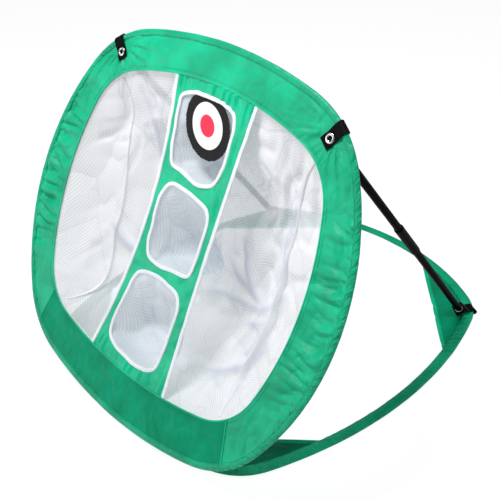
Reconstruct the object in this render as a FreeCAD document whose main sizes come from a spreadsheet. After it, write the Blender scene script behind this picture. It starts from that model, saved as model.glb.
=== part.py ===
"""Pop-up golf chipping net: a leaning front hoop, a base hoop on the ground and two shock-corded poles.

The front hoop carries a fabric border, a centre strip with three target windows and a mesh catch net.
Units are millimetres. +Z is up, the golfer stands on the -Y side, and the origin is on the ground
under the middle of the whole net.
"""
import FreeCAD, Part
import math
import os
import Sketcher

V = FreeCAD.Vector
Z_AXIS = V(0, 0, 1)
X_AXIS = V(1, 0, 0)

# alias, value, meaning
DIMENSIONS = [
    ("lean", 26.5, "front panel's lean back from upright, degrees"),
    ("front_half_width", 300, "front hoop outer edge, half of its width"),
    ("front_half_height", 269.5, "front hoop outer edge, half of its height in its own plane"),
    ("front_side_radius", 350.4, "bulge of the front's left and right edges"),
    ("front_top_radius", 661, "bulge of the front's top edge"),
    ("front_bottom_radius", 618, "bulge of the front's bottom edge"),
    ("front_corner_radius", 148.2, "front corners"),
    ("front_lift", 1, "front panel's lowest edge above the ground"),
    ("base_half_width", 276.9, "base hoop outer edge, half of its width"),
    ("base_half_length", 325.1, "base hoop outer edge, half of its length"),
    ("base_side_radius", 664.8, "bulge of the base's sides"),
    ("base_rear_radius", 371.5, "bulge of the base's rear edge"),
    ("base_front_radius", 640, "bulge of the base's front edge"),
    ("base_corner_radius", 97.1, "base corners"),
    ("base_setback", 7, "base hoop behind the foot of the front panel"),
    ("centre_from_foot", 327.4, "foot of the front panel to the origin, along Y"),
    ("open_half_width", 238.9, "opening inside the border, half of its width"),
    ("open_half_height", 208.5, "opening inside the border, half of its height"),
    ("open_rise", 7.7, "opening's middle above the hoop's middle"),
    ("open_side_radius", 411.7, "bulge of the opening's sides"),
    ("open_top_radius", 531.7, "bulge of the opening's top"),
    ("open_bottom_radius", 651.8, "bulge of the opening's bottom"),
    ("open_corner_radius", 93.8, "opening's corners"),
    ("front_sleeve_width", 10, "fabric sleeve round the front hoop's wire"),
    ("front_sleeve_thickness", 6.4, "front sleeve across the wire"),
    ("base_sleeve_width", 17, "fabric sleeve round the base hoop's wire"),
    ("base_sleeve_thickness", 7.6, "base sleeve across the wire"),
    ("sleeve_rounding", 2.8, "sleeve's rounded long edges"),
    ("tunnel_radius", 2.5, "hollow inside the sleeve"),
    ("wire_radius", 1.5, "spring steel hoop wire"),
    ("wire_gap", 1, "gap between the wire's two ends"),
    ("crimp_length", 40, "steel tube that joins the wire's ends"),
    ("crimp_outer_radius", 2.3, "crimp tube outside"),
    ("crimp_inner_radius", 1.6, "crimp tube inside"),
    ("cloth", 1.2, "sewn fabric, with its seams"),
    ("strip_top_half_width", 82, "centre strip where it meets the top border"),
    ("strip_waist_half_width", 66.5, "centre strip at its narrowest"),
    ("strip_bottom_half_width", 88, "centre strip where it meets the bottom border"),
    ("strip_waist_height", 30, "narrowest place above the hoop's middle"),
    ("strip_bow", 14, "how far the strip's middle is pulled back"),
    ("edge_binding", 8, "white binding tape on the strip's edges"),
    ("window_binding", 7, "white binding tape round each window"),
    ("binding_thickness", 2.2, "binding tape, folded over the edge"),
    ("window_rounding", 20, "window corners, outside of the binding"),
    ("pouch_wall", 1, "mesh pouch wall"),
    ("pouch_top_depth", 8, "pouch behind the strip at its top"),
    ("pouch_low_depth", 20, "pouch behind the strip at its bottom"),
    ("target_radius", 43, "printed target's black disc"),
    ("target_height", 160, "target's middle above the hoop's middle"),
    ("net_wall", 1, "catch net wall"),
    ("net_overlap", 4, "catch net sewn behind the border"),
    ("net_behind", 1.4, "its hem behind the middle of the border's cloth"),
    ("seam_ring_depth", 22, "net's seam ring behind the border at its top"),
    ("seam_ring_tilt", 8, "seam ring hangs back at the bottom by this many degrees"),
    ("back_ring_depth", 70, "net's back behind the border at its top"),
    ("back_ring_tilt", 10, "back hangs back at the bottom by this many degrees"),
    ("tab_width", 18, "webbing tab"),
    ("tab_thickness", 1.2, "webbing"),
    ("tab_turn", 54, "front tabs lean in from level by this many degrees"),
    ("tab_reach", 30, "tab's length in from the hoop's outer edge"),
    ("eyelet_reach", 22.6, "front eyelet in from the hoop's outer edge"),
    ("eyelet_bore_radius", 3.2, "eyelet's hole"),
    ("eyelet_barrel_radius", 3.7, "eyelet's barrel outside"),
    ("eyelet_flange_radius", 6.35, "eyelet's rolled flange"),
    ("eyelet_flange", 0.8, "flange and washer thickness"),
    ("foot_eyelet_x", 214.6, "rear eyelet from the middle"),
    ("foot_eyelet_y", 547.8, "rear eyelet behind the foot of the front panel"),
    ("foot_eyelet_z", 13, "rear eyelet above the ground"),
    ("rod_radius", 5.5, "pole tube outside"),
    ("rod_bore_radius", 3, "pole tube inside"),
    ("ferrule_radius", 6.9, "ferrule outside"),
    ("ferrule_length", 72, "ferrule"),
    ("ferrule_fit", 0.05, "radial room between ferrule and pole"),
    ("ferrule_grip", 20, "ferrule glued on the lower pole"),
    ("upper_share", 0.52, "upper pole's share of the whole pole"),
    ("pole_gap", 0.2, "gap between the two poles inside the ferrule"),
    ("tip_nose_radius", 2.5, "nose that goes into an eyelet"),
    ("tip_nose_length", 9, "nose beyond the tip's collar"),
    ("tip_collar", 4, "collar between pole and nose"),
    ("tip_spigot", 14, "spigot glued in the pole"),
    ("tip_clearance", 6.6, "end of the top nose from the front eyelet's middle"),
    ("foot_nose_past", 7.4, "bottom nose's end past the rear eyelet's middle"),
    ("cord_radius", 1.5, "elastic cord inside the pole"),
]

# each window's binding, before rounding: corners from the bottom left
WINDOWS = {
    "top": [(-55, 86), (49, 85), (49, 195), (-59, 195)],
    "middle": [(-49, -43), (49, -40), (50, 67), (-50, 71)],
    "bottom": [(-56, -178), (51, -178), (51, -58), (-55, -60)],
}

# rings of the catch net: size against the opening, middle above the hoop's middle, depth and tilt
NET_RINGS = [
    (1.0, "open_rise", None, None),
    (0.72, 20, "seam_ring_depth", "seam_ring_tilt"),
    (0.50, 10, "back_ring_depth", "back_ring_tilt"),
]

doc = FreeCAD.newDocument("chipping_net")
sheet = doc.addObject("Spreadsheet::Sheet", "dimensions")
for row, (alias, value, meaning) in enumerate(DIMENSIONS, start=1):
    sheet.set("A%d" % row, meaning)
    sheet.set("B%d" % row, str(value))
    sheet.setAlias("B%d" % row, alias)
doc.recompute()
size = {alias: float(getattr(sheet, alias)) for alias, _, _ in DIMENSIONS}
parts = []


# ---------------------------------------------------------------- outlines

class Outline:
    """A closed outline of eight tangent arcs: four long bulging edges and four round corners."""

    band = 0.0  # width of the sleeve along the outline
    depth = 0.0  # thickness of that sleeve

    def __init__(self, half_width, half_height, rise, side, top, bottom, corner, scale=1.0):
        self.side = side * scale
        self.top = top * scale
        self.bottom = bottom * scale
        self.corner = corner * scale
        self.side_at = V(half_width * scale - self.side, rise, 0)
        self.top_at = V(0, rise + half_height * scale - self.top, 0)
        self.bottom_at = V(0, rise - half_height * scale + self.bottom, 0)
        self.upper_at = self.corner_centre(self.top_at, self.top)
        self.lower_at = self.corner_centre(self.bottom_at, self.bottom)
        self.turns = [
            heading(self.top_at, self.upper_at),
            heading(self.side_at, self.upper_at),
            heading(self.side_at, self.lower_at),
            heading(self.bottom_at, self.lower_at),
        ]
        self.upper_turn = (self.turns[0] + self.turns[1]) / 2
        self.lower_turn = (self.turns[2] + self.turns[3]) / 2

    def corner_centre(self, edge_at, edge):
        """Centre of the corner arc that touches the right side and the given edge from inside."""
        reach_side = self.side - self.corner
        reach_edge = edge - self.corner
        across = edge_at - self.side_at
        along = (reach_side ** 2 - reach_edge ** 2 + across.Length ** 2) / (2 * across.Length)
        off = math.sqrt(reach_side ** 2 - along ** 2)
        unit = across / across.Length
        foot = self.side_at + unit * along
        normal = V(-unit.y, unit.x, 0)
        return max(foot + normal * off, foot - normal * off, key=lambda point: point.x)

    def arcs(self, edge):
        """One edge with the halves of its two corners, clockwise, as (centre, radius, from, to)."""
        t0, t1, t2, t3 = self.turns
        if edge == "right":
            return [
                (self.upper_at, self.corner, self.upper_turn, t1),
                (self.side_at, self.side, t1, t2),
                (self.lower_at, self.corner, t2, self.lower_turn),
            ]
        if edge == "left":
            return mirrored(self.arcs("right"))
        if edge == "top":
            half = [
                (self.top_at, self.top, math.pi / 2, t0),
                (self.upper_at, self.corner, t0, self.upper_turn),
            ]
            return mirrored(half) + half
        half = [
            (self.lower_at, self.corner, self.lower_turn, t3),
            (self.bottom_at, self.bottom, t3, -math.pi / 2),
        ]
        return half + mirrored(half)

    def corner_point(self, upper, right, inset=0.0):
        centre, turn = (self.upper_at, self.upper_turn) if upper else (self.lower_at, self.lower_turn)
        point = centre + spoke(self.corner - inset, turn)
        return point if right else V(-point.x, point.y, 0)

    def wire(self, inset=0.0):
        arcs = [arc for edge in ("top", "right", "bottom", "left") for arc in self.arcs(edge)]
        edges = [arc_edge(arc, inset) for arc in arcs]
        return Part.Wire(Part.__sortEdges__(edges))


def heading(start, end):
    return math.atan2(end.y - start.y, end.x - start.x)


def spoke(radius, turn):
    return V(radius * math.cos(turn), radius * math.sin(turn), 0)


def mirrored(arcs):
    return [(V(-c.x, c.y, 0), r, math.pi - end, math.pi - start) for c, r, start, end in reversed(arcs)]


def arc_edge(arc, inset):
    centre, radius, start, end = arc
    turns = (start, (start + end) / 2, end)
    return Part.Arc(*[centre + spoke(radius - inset, turn) for turn in turns]).toShape()


def front_outline():
    outline = Outline(size["front_half_width"], size["front_half_height"], 0, size["front_side_radius"],
                      size["front_top_radius"], size["front_bottom_radius"], size["front_corner_radius"])
    outline.band = size["front_sleeve_width"]
    outline.depth = size["front_sleeve_thickness"]
    return outline


def base_outline():
    outline = Outline(size["base_half_width"], size["base_half_length"], 0, size["base_side_radius"],
                      size["base_rear_radius"], size["base_front_radius"], size["base_corner_radius"])
    outline.band = size["base_sleeve_width"]
    outline.depth = size["base_sleeve_thickness"]
    return outline


def opening_outline(scale=1.0, drop=0.0):
    return Outline(size["open_half_width"], size["open_half_height"], size["open_rise"] - drop,
                   size["open_side_radius"], size["open_top_radius"], size["open_bottom_radius"],
                   size["open_corner_radius"], scale)


# ---------------------------------------------------------------- solids from outlines

def section_edges(width, thickness, rounding):
    """Rounded rectangle in the XZ plane, from x = -width to x = 0."""
    half = thickness / 2
    corners = [(0, half), (-width, half), (-width, -half), (0, -half)]
    edges = []
    starts = []
    for index, (x, z) in enumerate(corners):
        sx = -1 if x == 0 else 1
        sz = -1 if z > 0 else 1
        along_x = V(x + sx * rounding, 0, z)
        along_z = V(x, 0, z + sz * rounding)
        diagonal = rounding * (1 - math.sqrt(0.5))
        knee = V(x + sx * diagonal, 0, z + sz * diagonal)
        first, last = (along_z, along_x) if index % 2 == 0 else (along_x, along_z)
        edges.append(Part.Arc(first, knee, last).toShape())
        starts.append((first, last))
    for index in range(4):
        edges.append(Part.makeLine(starts[index][1], starts[(index + 1) % 4][0]))
    return edges


def swept(arcs, section):
    """A section, drawn with x measured out from an outline's edge, carried along its arcs."""
    solids = []
    for centre, radius, start, end in arcs:
        face = section.copy()
        face.translate(V(radius, 0, 0))
        face.rotate(V(0, 0, 0), Z_AXIS, math.degrees(start))
        face.translate(centre)
        solids.append(face.revolve(centre, Z_AXIS, math.degrees(end - start)))
    return solids[0].multiFuse(solids[1:]).removeSplitter() if len(solids) > 1 else solids[0]


def sleeve_section(outline):
    edges = section_edges(outline.band, outline.depth, size["sleeve_rounding"])
    outside = Part.Wire(Part.__sortEdges__(edges))
    tunnel = Part.makeCircle(size["tunnel_radius"], V(-outline.band / 2, 0, 0), V(0, 1, 0))
    return Part.Face(outside).cut(Part.Face(Part.Wire(tunnel))).Faces[0]


def round_section(outline, radius, hollow=0.0):
    at = V(-outline.band / 2, 0, 0)
    disc = Part.Face(Part.Wire(Part.makeCircle(radius, at, V(0, 1, 0))))
    if not hollow:
        return disc
    return disc.cut(Part.Face(Part.Wire(Part.makeCircle(hollow, at, V(0, 1, 0))))).Faces[0]


def middle_arc(outline, length):
    """A stretch of the bottom edge's arc of the given length, centred on the middle."""
    half = length / 2 / outline.bottom
    return (outline.bottom_at, outline.bottom, -math.pi / 2 + half, -math.pi / 2 - half)


def hoop_wire(outline):
    """The hoop's wire, open by a small gap in the middle of the bottom edge."""
    gap = size["wire_gap"] / 2 / outline.bottom
    bottom = outline.arcs("bottom")
    centre, radius, start, _ = bottom[1]
    right_half = [bottom[0], (centre, radius, start, -math.pi / 2 + gap)]
    left_half = mirrored(right_half)
    arcs = left_half + outline.arcs("left") + outline.arcs("top") + outline.arcs("right") + right_half
    return swept(arcs, round_section(outline, size["wire_radius"]))


def crimp(outline):
    section = round_section(outline, size["crimp_outer_radius"], size["crimp_inner_radius"])
    return swept([middle_arc(outline, size["crimp_length"])], section)


def border_panel(outline, opening, edge):
    """Flat panel between the sleeve and the opening, mitred at the corners."""
    outer = [arc_edge(arc, outline.band) for arc in outline.arcs(edge)]
    inner = [arc_edge(arc, 0) for arc in opening.arcs(edge)]
    start = Part.makeLine(outer[0].firstVertex().Point, inner[0].firstVertex().Point)
    end = Part.makeLine(outer[-1].lastVertex().Point, inner[-1].lastVertex().Point)
    face = Part.Face(Part.Wire(Part.__sortEdges__(outer + inner + [start, end])))
    face.translate(V(0, 0, -size["cloth"] / 2))
    return face.extrude(V(0, 0, size["cloth"]))


def gusset(outline, rear, right):
    """Flat triangle of fabric across a base corner, with a straight hem."""
    inner = Part.Face(outline.wire(outline.band))
    sign = 1 if right else -1
    hem = GUSSET_HEMS["rear" if rear else "front"]
    start = V(sign * hem[0][0], hem[0][1], 0)
    end = V(sign * hem[1][0], hem[1][1], 0)
    away = V(end.y - start.y, start.x - end.x, 0)
    corner = outline.corner_point(rear, right)
    away = away if away.dot(corner - start) > 0 else -away
    away.normalize()
    reach = size["base_half_length"]
    along = (end - start).normalize() * reach
    far = [start - along, end + along, end + along + away * reach, start - along + away * reach]
    mask = Part.Face(Part.makePolygon(far + far[:1]))
    face = inner.common(mask).Faces[0]
    face.translate(V(0, 0, -size["cloth"] / 2))
    return face.extrude(V(0, 0, size["cloth"]))


# hem ends from the base's middle: on the rear or front edge, then on the side edge
GUSSET_HEMS = {"rear": [(84.5, 299.9), (250.0, 123.9)], "front": [(100.0, -291.0), (249.0, -150.0)]}


# ---------------------------------------------------------------- centre strip and windows

def strip_edge(inset):
    """The strip's right edge, an arc through its top, waist and bottom."""
    top = V(size["strip_top_half_width"] - inset, size["open_half_height"] + size["open_rise"] + 20, 0)
    waist = V(size["strip_waist_half_width"] - inset, size["strip_waist_height"], 0)
    bottom = V(size["strip_bottom_half_width"] - inset, size["open_rise"] - size["open_half_height"] - 20, 0)
    return Part.Arc(top, waist, bottom)


def between(outer, inner_inset, outer_inset):
    """Face between two insets of the strip's right edge, or across the whole strip."""
    right = strip_edge(outer_inset).toShape()
    if inner_inset is None:
        left = right.mirror(V(0, 0, 0), X_AXIS)
    else:
        left = strip_edge(inner_inset).toShape()
    tops = sorted([right.firstVertex().Point, right.lastVertex().Point], key=lambda point: -point.y)
    lefts = sorted([left.firstVertex().Point, left.lastVertex().Point], key=lambda point: -point.y)
    edges = [right, left, Part.makeLine(tops[0], lefts[0]), Part.makeLine(tops[1], lefts[1])]
    return Part.Face(Part.Wire(Part.__sortEdges__(edges))).common(outer).Faces[0]


def bow_radius():
    half = size["open_half_height"]
    return (half ** 2 + size["strip_bow"] ** 2) / (2 * size["strip_bow"])


def bow_cylinder(radius):
    """Round bar whose back surface is the strip's bowed surface when radius is the bow's own."""
    long = 2 * size["front_half_width"]
    at = V(-long / 2, size["open_rise"], bow_radius() - size["strip_bow"])
    return Part.makeCylinder(radius, long, at, X_AXIS)


def bowed(face, thickness):
    """A face of the flat strip as a sheet of the given thickness that follows the bow."""
    prism = face.copy()
    prism.translate(V(0, 0, -4 * size["strip_bow"]))
    prism = prism.extrude(V(0, 0, 5 * size["strip_bow"]))
    shell = bow_cylinder(bow_radius() + thickness / 2).cut(bow_cylinder(bow_radius() - thickness / 2))
    return prism.common(shell).Solids[0]


def window_corners(name):
    """Corners of a window's binding, before rounding, from the bottom left."""
    return [V(x, y, 0) for x, y in WINDOWS[name]]


def window_face(name, inset):
    corners = window_corners(name)
    core = Part.Face(Part.makePolygon(corners + corners[:1])).makeOffset2D(-size["window_rounding"])
    return core.makeOffset2D(size["window_rounding"] - inset)


def pouch_block(name, inset):
    """Room behind a window down to its sloping back, inset on every side but the front."""
    face = window_face(name, size["window_binding"] + inset)
    ys = [corner.y for corner in window_corners(name)]
    high = max(ys)
    low = min(ys)
    face.translate(V(0, 0, -150))
    prism = face.extrude(V(0, 0, 160))
    bow_high = bow_depth(high)
    bow_low = bow_depth(low)
    margin = 60
    slope = (bow_low + size["pouch_low_depth"] - bow_high - size["pouch_top_depth"]) / (high - low)
    back_high = -(bow_high + size["pouch_top_depth"]) + slope * margin + inset
    back_low = -(bow_low + size["pouch_low_depth"]) - slope * margin + inset
    profile = [V(-100, high + margin, back_high), V(-100, low - margin, back_low),
               V(-100, low - margin, 40), V(-100, high + margin, 40)]
    wedge = Part.Face(Part.makePolygon(profile + profile[:1])).extrude(V(200, 0, 0))
    return prism.common(wedge)


def bow_depth(height):
    """How far the strip's surface is behind the border's plane at a height."""
    radius = bow_radius()
    return size["strip_bow"] - radius + math.sqrt(radius ** 2 - (height - size["open_rise"]) ** 2)


def pouch(name):
    """Mesh pouch behind a window: open at the front, deeper towards the bottom."""
    behind = bow_cylinder(bow_radius() + size["binding_thickness"] / 2)
    outside = pouch_block(name, 0).cut(behind)
    inside = pouch_block(name, size["pouch_wall"])
    return outside.cut(inside).Solids[0]


def target():
    """Printed disc in the top window, trimmed by the binding."""
    at = V(0, size["target_height"], 0)
    disc = Part.Face(Part.Wire(Part.makeCircle(size["target_radius"], at, Z_AXIS)))
    return bowed(disc.common(window_face("top", size["window_binding"])).Faces[0], size["cloth"])


def net_ring(ring, inset):
    """One closed station of the catch net, hung from its own top edge."""
    scale, rise, depth, tilt = ring
    rise = size[rise] if rise in size else rise
    outline = opening_outline(scale, size["open_rise"] - rise)
    station = outline.wire(inset)
    if tilt is None:
        return station
    station.rotate(V(0, rise + size["open_half_height"] * scale, 0), X_AXIS, size[tilt])
    station.translate(V(0, 0, -size[depth]))
    return station


def catch_net():
    """Mesh bag sewn behind the border: walls in to the seam ring, then out of sight to a small back."""
    front, seam, back = NET_RINGS
    wall = size["net_wall"]

    def bag(inset, over):
        hem = net_ring(front, inset - size["net_overlap"])
        hem.translate(V(0, 0, over - size["net_behind"]))
        last = net_ring(back, inset)
        last.translate(V(0, 0, inset))
        return Part.makeLoft([hem, net_ring(seam, inset), last], True, True)

    return bag(0, 0).cut(bag(wall, wall))


# ---------------------------------------------------------------- webbing tabs and the hinge strip

def front_tab_frame(outline, right):
    """Outer corner of the front hoop and the directions inward and across the tab."""
    outward = spoke(1, math.radians(size["tab_turn"]))
    at = outline.upper_at + outward * outline.corner
    if not right:
        outward.x = -outward.x
        at.x = -at.x
    inward = -outward
    across = V(-inward.y, inward.x, 0)
    return at, inward, across


def front_tab(outline, right):
    """Webbing folded over the hoop sleeve at an upper corner, both layers against the border."""
    at, inward, across = front_tab_frame(outline, right)
    thick = size["tab_thickness"]
    flat = size["cloth"] / 2
    over = outline.depth / 2 + 0.2
    sleeve = outline.band
    reach = size["tab_reach"]
    inner = [(reach, flat), (sleeve + 0.5, flat), (sleeve + 0.3, flat + 0.8)]
    inner += [(sleeve - 1.2, over), (1.2, over), (-0.6, over / 2)]
    outer = [(reach, flat + thick), (sleeve + 1.7, flat + thick), (sleeve + 1.4, flat + thick + 0.4)]
    outer += [(sleeve - 0.7, over + thick), (0.7, over + thick), (-0.6 - thick, over / 2 + 0.4)]
    outline_points = outer + [(x, -z) for x, z in reversed(outer)]
    outline_points += [(x, -z) for x, z in inner] + list(reversed(inner))
    profile = [at + inward * x + V(0, 0, z) - across * (size["tab_width"] / 2) for x, z in outline_points]
    tab = Part.Face(Part.makePolygon(profile + profile[:1])).extrude(across * size["tab_width"])
    return tab.cut(eyelet_hole(at + inward * size["eyelet_reach"], Z_AXIS))


def eyelet_hole(at, axis):
    reach = 2 * size["base_sleeve_width"]
    return Part.makeCylinder(size["eyelet_barrel_radius"] + 0.3, reach, at - axis * (reach / 2), axis)


def strap(stations, across_list, thickness, width):
    """A flat strap through stations, each a centre with its own across and up directions."""
    wires = []
    for (at, up), across in zip(stations, across_list):
        half = across * (width / 2)
        lift = up * (thickness / 2)
        ring = [at - half - lift, at + half - lift, at + half + lift, at - half + lift]
        wires.append(Part.makePolygon(ring + ring[:1]))
    return Part.makeLoft(wires, True, True)


def rear_tab(right):
    """Webbing from the rear corner of the base sleeve up to the foot of the pole."""
    sign = 1 if right else -1
    outline = base_outline()
    corner = outline.corner_point(True, right) + base_middle()
    foot, pole = foot_point(right), pole_direction(right)
    flat_across = V(sign * 0.89, -0.456, 0)
    inward = V(-sign * 0.456, -0.89, 0)
    slope = (inward - pole * inward.dot(pole)).normalize()
    end_across = slope.cross(pole) * (1 if slope.cross(pole).dot(flat_across) > 0 else -1)
    top = outline.depth + 0.7 + size["tab_thickness"] / 2
    half = size["tab_width"] / 2
    ends = [
        (corner - inward * 0.5 + V(0, 0, top - 0.5), Z_AXIS),
        (corner + inward * 12 + V(0, 0, top), Z_AXIS),
    ]
    plate = [(foot - slope * (half - 1), pole), (foot + slope * half, pole)]
    tab = strap(ends + plate, [flat_across, flat_across, end_across, end_across],
                size["tab_thickness"], size["tab_width"])
    return tab.cut(eyelet_hole(foot, pole))


def hinge_strip():
    """Short fabric web between the base sleeve's front and the back of the front sleeve."""
    front = front_outline()
    base = base_outline()
    gap = 0.3
    wires = []
    for station in range(-4, 5):
        x = station * 28
        low = base_middle() + V(x, base.bottom_at.y - math.sqrt(base.bottom ** 2 - x ** 2), 0)
        low += V(0, 4.5, base.depth + gap)
        rise = front.bottom_at.y - math.sqrt(front.bottom ** 2 - x ** 2)
        back = -front.depth / 2 - gap
        high = front_placement().multVec(V(x, rise + 12, back))
        thick = V(0, 0.8, 0)
        ring = [low, high, high + thick, low + thick * 1.5]
        wires.append(Part.makePolygon(ring + ring[:1]))
    return Part.makeLoft(wires, True, True)


# ---------------------------------------------------------------- places

def front_placement():
    """Places the front panel's own XY plane, leaning back over the base."""
    middle = size["front_half_height"]
    tilt = math.radians(size["lean"])
    back = middle * math.sin(tilt) - size["centre_from_foot"]
    at = V(0, back, middle * math.cos(tilt) + size["front_lift"])
    return FreeCAD.Placement(at, FreeCAD.Rotation(X_AXIS, 90 - size["lean"]))


def base_middle():
    return V(0, size["base_setback"] + size["base_half_length"] - size["centre_from_foot"], 0)


def base_placement():
    return FreeCAD.Placement(base_middle() + V(0, 0, size["base_sleeve_thickness"] / 2), FreeCAD.Rotation())


def foot_point(right):
    sign = 1 if right else -1
    back = size["foot_eyelet_y"] - size["centre_from_foot"]
    return V(sign * size["foot_eyelet_x"], back, size["foot_eyelet_z"])


def front_eyelet_local(right):
    at, inward, _ = front_tab_frame(front_outline(), right)
    return at + inward * size["eyelet_reach"]


def front_eyelet_point(right):
    return front_placement().multVec(front_eyelet_local(right))


def pole_direction(right):
    return (front_eyelet_point(right) - foot_point(right)).normalize()


def pole_placement(right, along):
    """A place on the pole's axis, with its own Z up the pole."""
    at = foot_point(right) + pole_direction(right) * along
    return FreeCAD.Placement(at, FreeCAD.Rotation(Z_AXIS, pole_direction(right)))


# ---------------------------------------------------------------- document objects

def solid_part(label, shape, placement=None):
    """A piece whose outline is made of many arcs, which no sketch feature fits."""
    item = doc.addObject("Part::Feature", label)
    item.Label = label
    item.Shape = shape
    item.Placement = placement or FreeCAD.Placement()
    parts.append(item)
    return item


def turned_part(label, corners, placement):
    """A turned piece: a closed profile of (radius, height) expressions, revolved about its own Z."""
    body = doc.addObject("PartDesign::Body", label)
    body.Label = label
    plane = next(item for item in body.Origin.OriginFeatures if item.Role == "XZ_Plane")
    axis = next(item for item in body.Origin.OriginFeatures if item.Role == "Z_Axis")
    sketch = body.newObject("Sketcher::SketchObject", label + "_profile")
    sketch.AttachmentSupport = [(plane, "")]
    sketch.MapMode = "FlatFace"
    count = len(corners)
    points = [V(value_of(radius), value_of(height), 0) for radius, height in corners]
    for index in range(count):
        sketch.addGeometry(Part.LineSegment(points[index], points[(index + 1) % count]), False)
    for index in range(count):
        sketch.addConstraint(Sketcher.Constraint("Coincident", index, 2, (index + 1) % count, 1))
    for index, (radius, height) in enumerate(corners):
        point = points[index]
        for kind, expression, number in (("DistanceX", radius, point.x), ("DistanceY", height, point.y)):
            place = sketch.addConstraint(Sketcher.Constraint(kind, -1, 1, index, 1, number))
            sketch.setExpression("Constraints[%d]" % place, "(%s) * 1 mm" % in_sheet(expression))
    turn = body.newObject("PartDesign::Revolution", label + "_turn")
    turn.Profile = sketch
    turn.ReferenceAxis = (axis, [""])
    turn.Angle = 360
    body.Placement = placement
    parts.append(body)
    return body


def in_sheet(expression):
    """The expression with each alias written as the spreadsheet's own cell."""
    words = expression.replace("(", " ( ").replace(")", " ) ").split()
    return " ".join("dimensions." + word if word in size else word for word in words)


def value_of(expression):
    words = expression.replace("(", " ( ").replace(")", " ) ").split()
    total = 0.0
    sign = 1.0
    for word in words:
        if word in "+-":
            sign = 1.0 if word == "+" else -1.0
        else:
            total += sign * (size[word] if word in size else float(word))
    return total


def cylinder_part(label, radius, length, placement):
    rod = doc.addObject("Part::Cylinder", label)
    rod.Label = label
    rod.setExpression("Radius", in_sheet(radius) + " * 1 mm")
    rod.Height = length
    rod.Placement = placement
    parts.append(rod)
    return rod


# ---------------------------------------------------------------- the pieces

def make_front():
    outline = front_outline()
    opening = opening_outline()
    place = front_placement()
    solid_part("front_hoop_wire", hoop_wire(outline), place)
    solid_part("front_wire_crimp", crimp(outline), place)
    for edge in ("top", "right", "bottom", "left"):
        solid_part("front_sleeve_" + edge, swept(outline.arcs(edge), sleeve_section(outline)), place)
        panel = border_panel(outline, opening, edge)
        if edge == "top":
            for right in (False, True):
                panel = panel.cut(eyelet_hole(front_eyelet_local(right), Z_AXIS))
        if edge in ("left", "right"):
            panel = panel.cut(eyelet_hole(front_eyelet_local(edge == "right"), Z_AXIS))
        solid_part("border_" + edge, panel, place)
    make_strip(opening, place)
    solid_part("catch_net", catch_net(), place)
    for right, hand in ((False, "left"), (True, "right")):
        solid_part("front_tab_" + hand, front_tab(outline, right), place)
        front_eyelet(hand, right, place)


def make_strip(opening, place):
    inside = Part.Face(opening.wire(0.3))
    ground = between(inside, None, size["edge_binding"])
    for name in ("top", "middle", "bottom"):
        ground = ground.cut(window_face(name, 0)).Faces[0]
    solid_part("centre_strip", bowed(ground, size["cloth"]), place)
    edge = between(inside, size["edge_binding"], 0)
    solid_part("strip_binding_right", bowed(edge, size["binding_thickness"]), place)
    edge = edge.mirror(V(0, 0, 0), X_AXIS)
    solid_part("strip_binding_left", bowed(edge, size["binding_thickness"]), place)
    for name in ("top", "middle", "bottom"):
        ring = window_face(name, 0).cut(window_face(name, size["window_binding"])).Faces[0]
        solid_part("window_binding_" + name, bowed(ring, size["binding_thickness"]), place)
        solid_part("window_pouch_" + name, pouch(name), place)
    solid_part("target_patch", target(), place)


EYELET = [
    ("eyelet_bore_radius", "0 - eyelet_flange"), ("eyelet_barrel_radius", "0 - eyelet_flange"),
    ("eyelet_barrel_radius", "stack"), ("eyelet_flange_radius", "stack"),
    ("eyelet_flange_radius", "stack + eyelet_flange"), ("eyelet_bore_radius", "stack + eyelet_flange"),
]
WASHER = [
    ("eyelet_barrel_radius + 0.05", "0 - eyelet_flange"), ("eyelet_flange_radius", "0 - eyelet_flange"),
    ("eyelet_flange_radius", "0"), ("eyelet_barrel_radius + 0.05", "0"),
]


def through(corners, stack):
    """Eyelet or washer corners for a stack of cloth of the given thickness."""
    return [(radius, height.replace("stack", stack)) for radius, height in corners]


def front_eyelet(hand, right, place):
    stack = "cloth + tab_thickness + tab_thickness"
    back = V(0, 0, -size["cloth"] / 2 - size["tab_thickness"])
    at = FreeCAD.Placement(front_eyelet_local(right) + back, FreeCAD.Rotation())
    turned_part("front_eyelet_" + hand, through(EYELET, stack), place.multiply(at))
    turned_part("front_washer_" + hand, through(WASHER, stack), place.multiply(at))


def make_base():
    outline = base_outline()
    place = base_placement()
    solid_part("base_hoop_wire", hoop_wire(outline), place)
    solid_part("base_wire_crimp", crimp(outline), place)
    for edge, name in (("top", "rear"), ("right", "right"), ("bottom", "front"), ("left", "left")):
        solid_part("base_sleeve_" + name, swept(outline.arcs(edge), sleeve_section(outline)), place)
    for right, hand in ((False, "left"), (True, "right")):
        solid_part("gusset_rear_" + hand, gusset(outline, True, right), place)
        solid_part("gusset_front_" + hand, gusset(outline, False, right), place)
        solid_part("rear_tab_" + hand, rear_tab(right))
    solid_part("hinge_strip", hinge_strip())


def tip_corners(length):
    """A pole tip: spigot in the pole, collar against its end, nose for the eyelet."""
    nose_end = "tip_collar + " + length
    return [
        ("0", "0 - tip_spigot"), ("rod_bore_radius", "0 - tip_spigot"), ("rod_bore_radius", "0"),
        ("rod_radius", "0"), ("rod_radius", "tip_collar - 1"), ("rod_radius - 1", "tip_collar"),
        ("tip_nose_radius", "tip_collar"), ("tip_nose_radius", nose_end + " - 1.5"),
        ("tip_nose_radius - 1", nose_end), ("0", nose_end),
    ]


def tube_corners(length):
    corners = [("rod_bore_radius", "0"), ("rod_radius", "0")]
    return corners + [("rod_radius", length), ("rod_bore_radius", length)]


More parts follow.
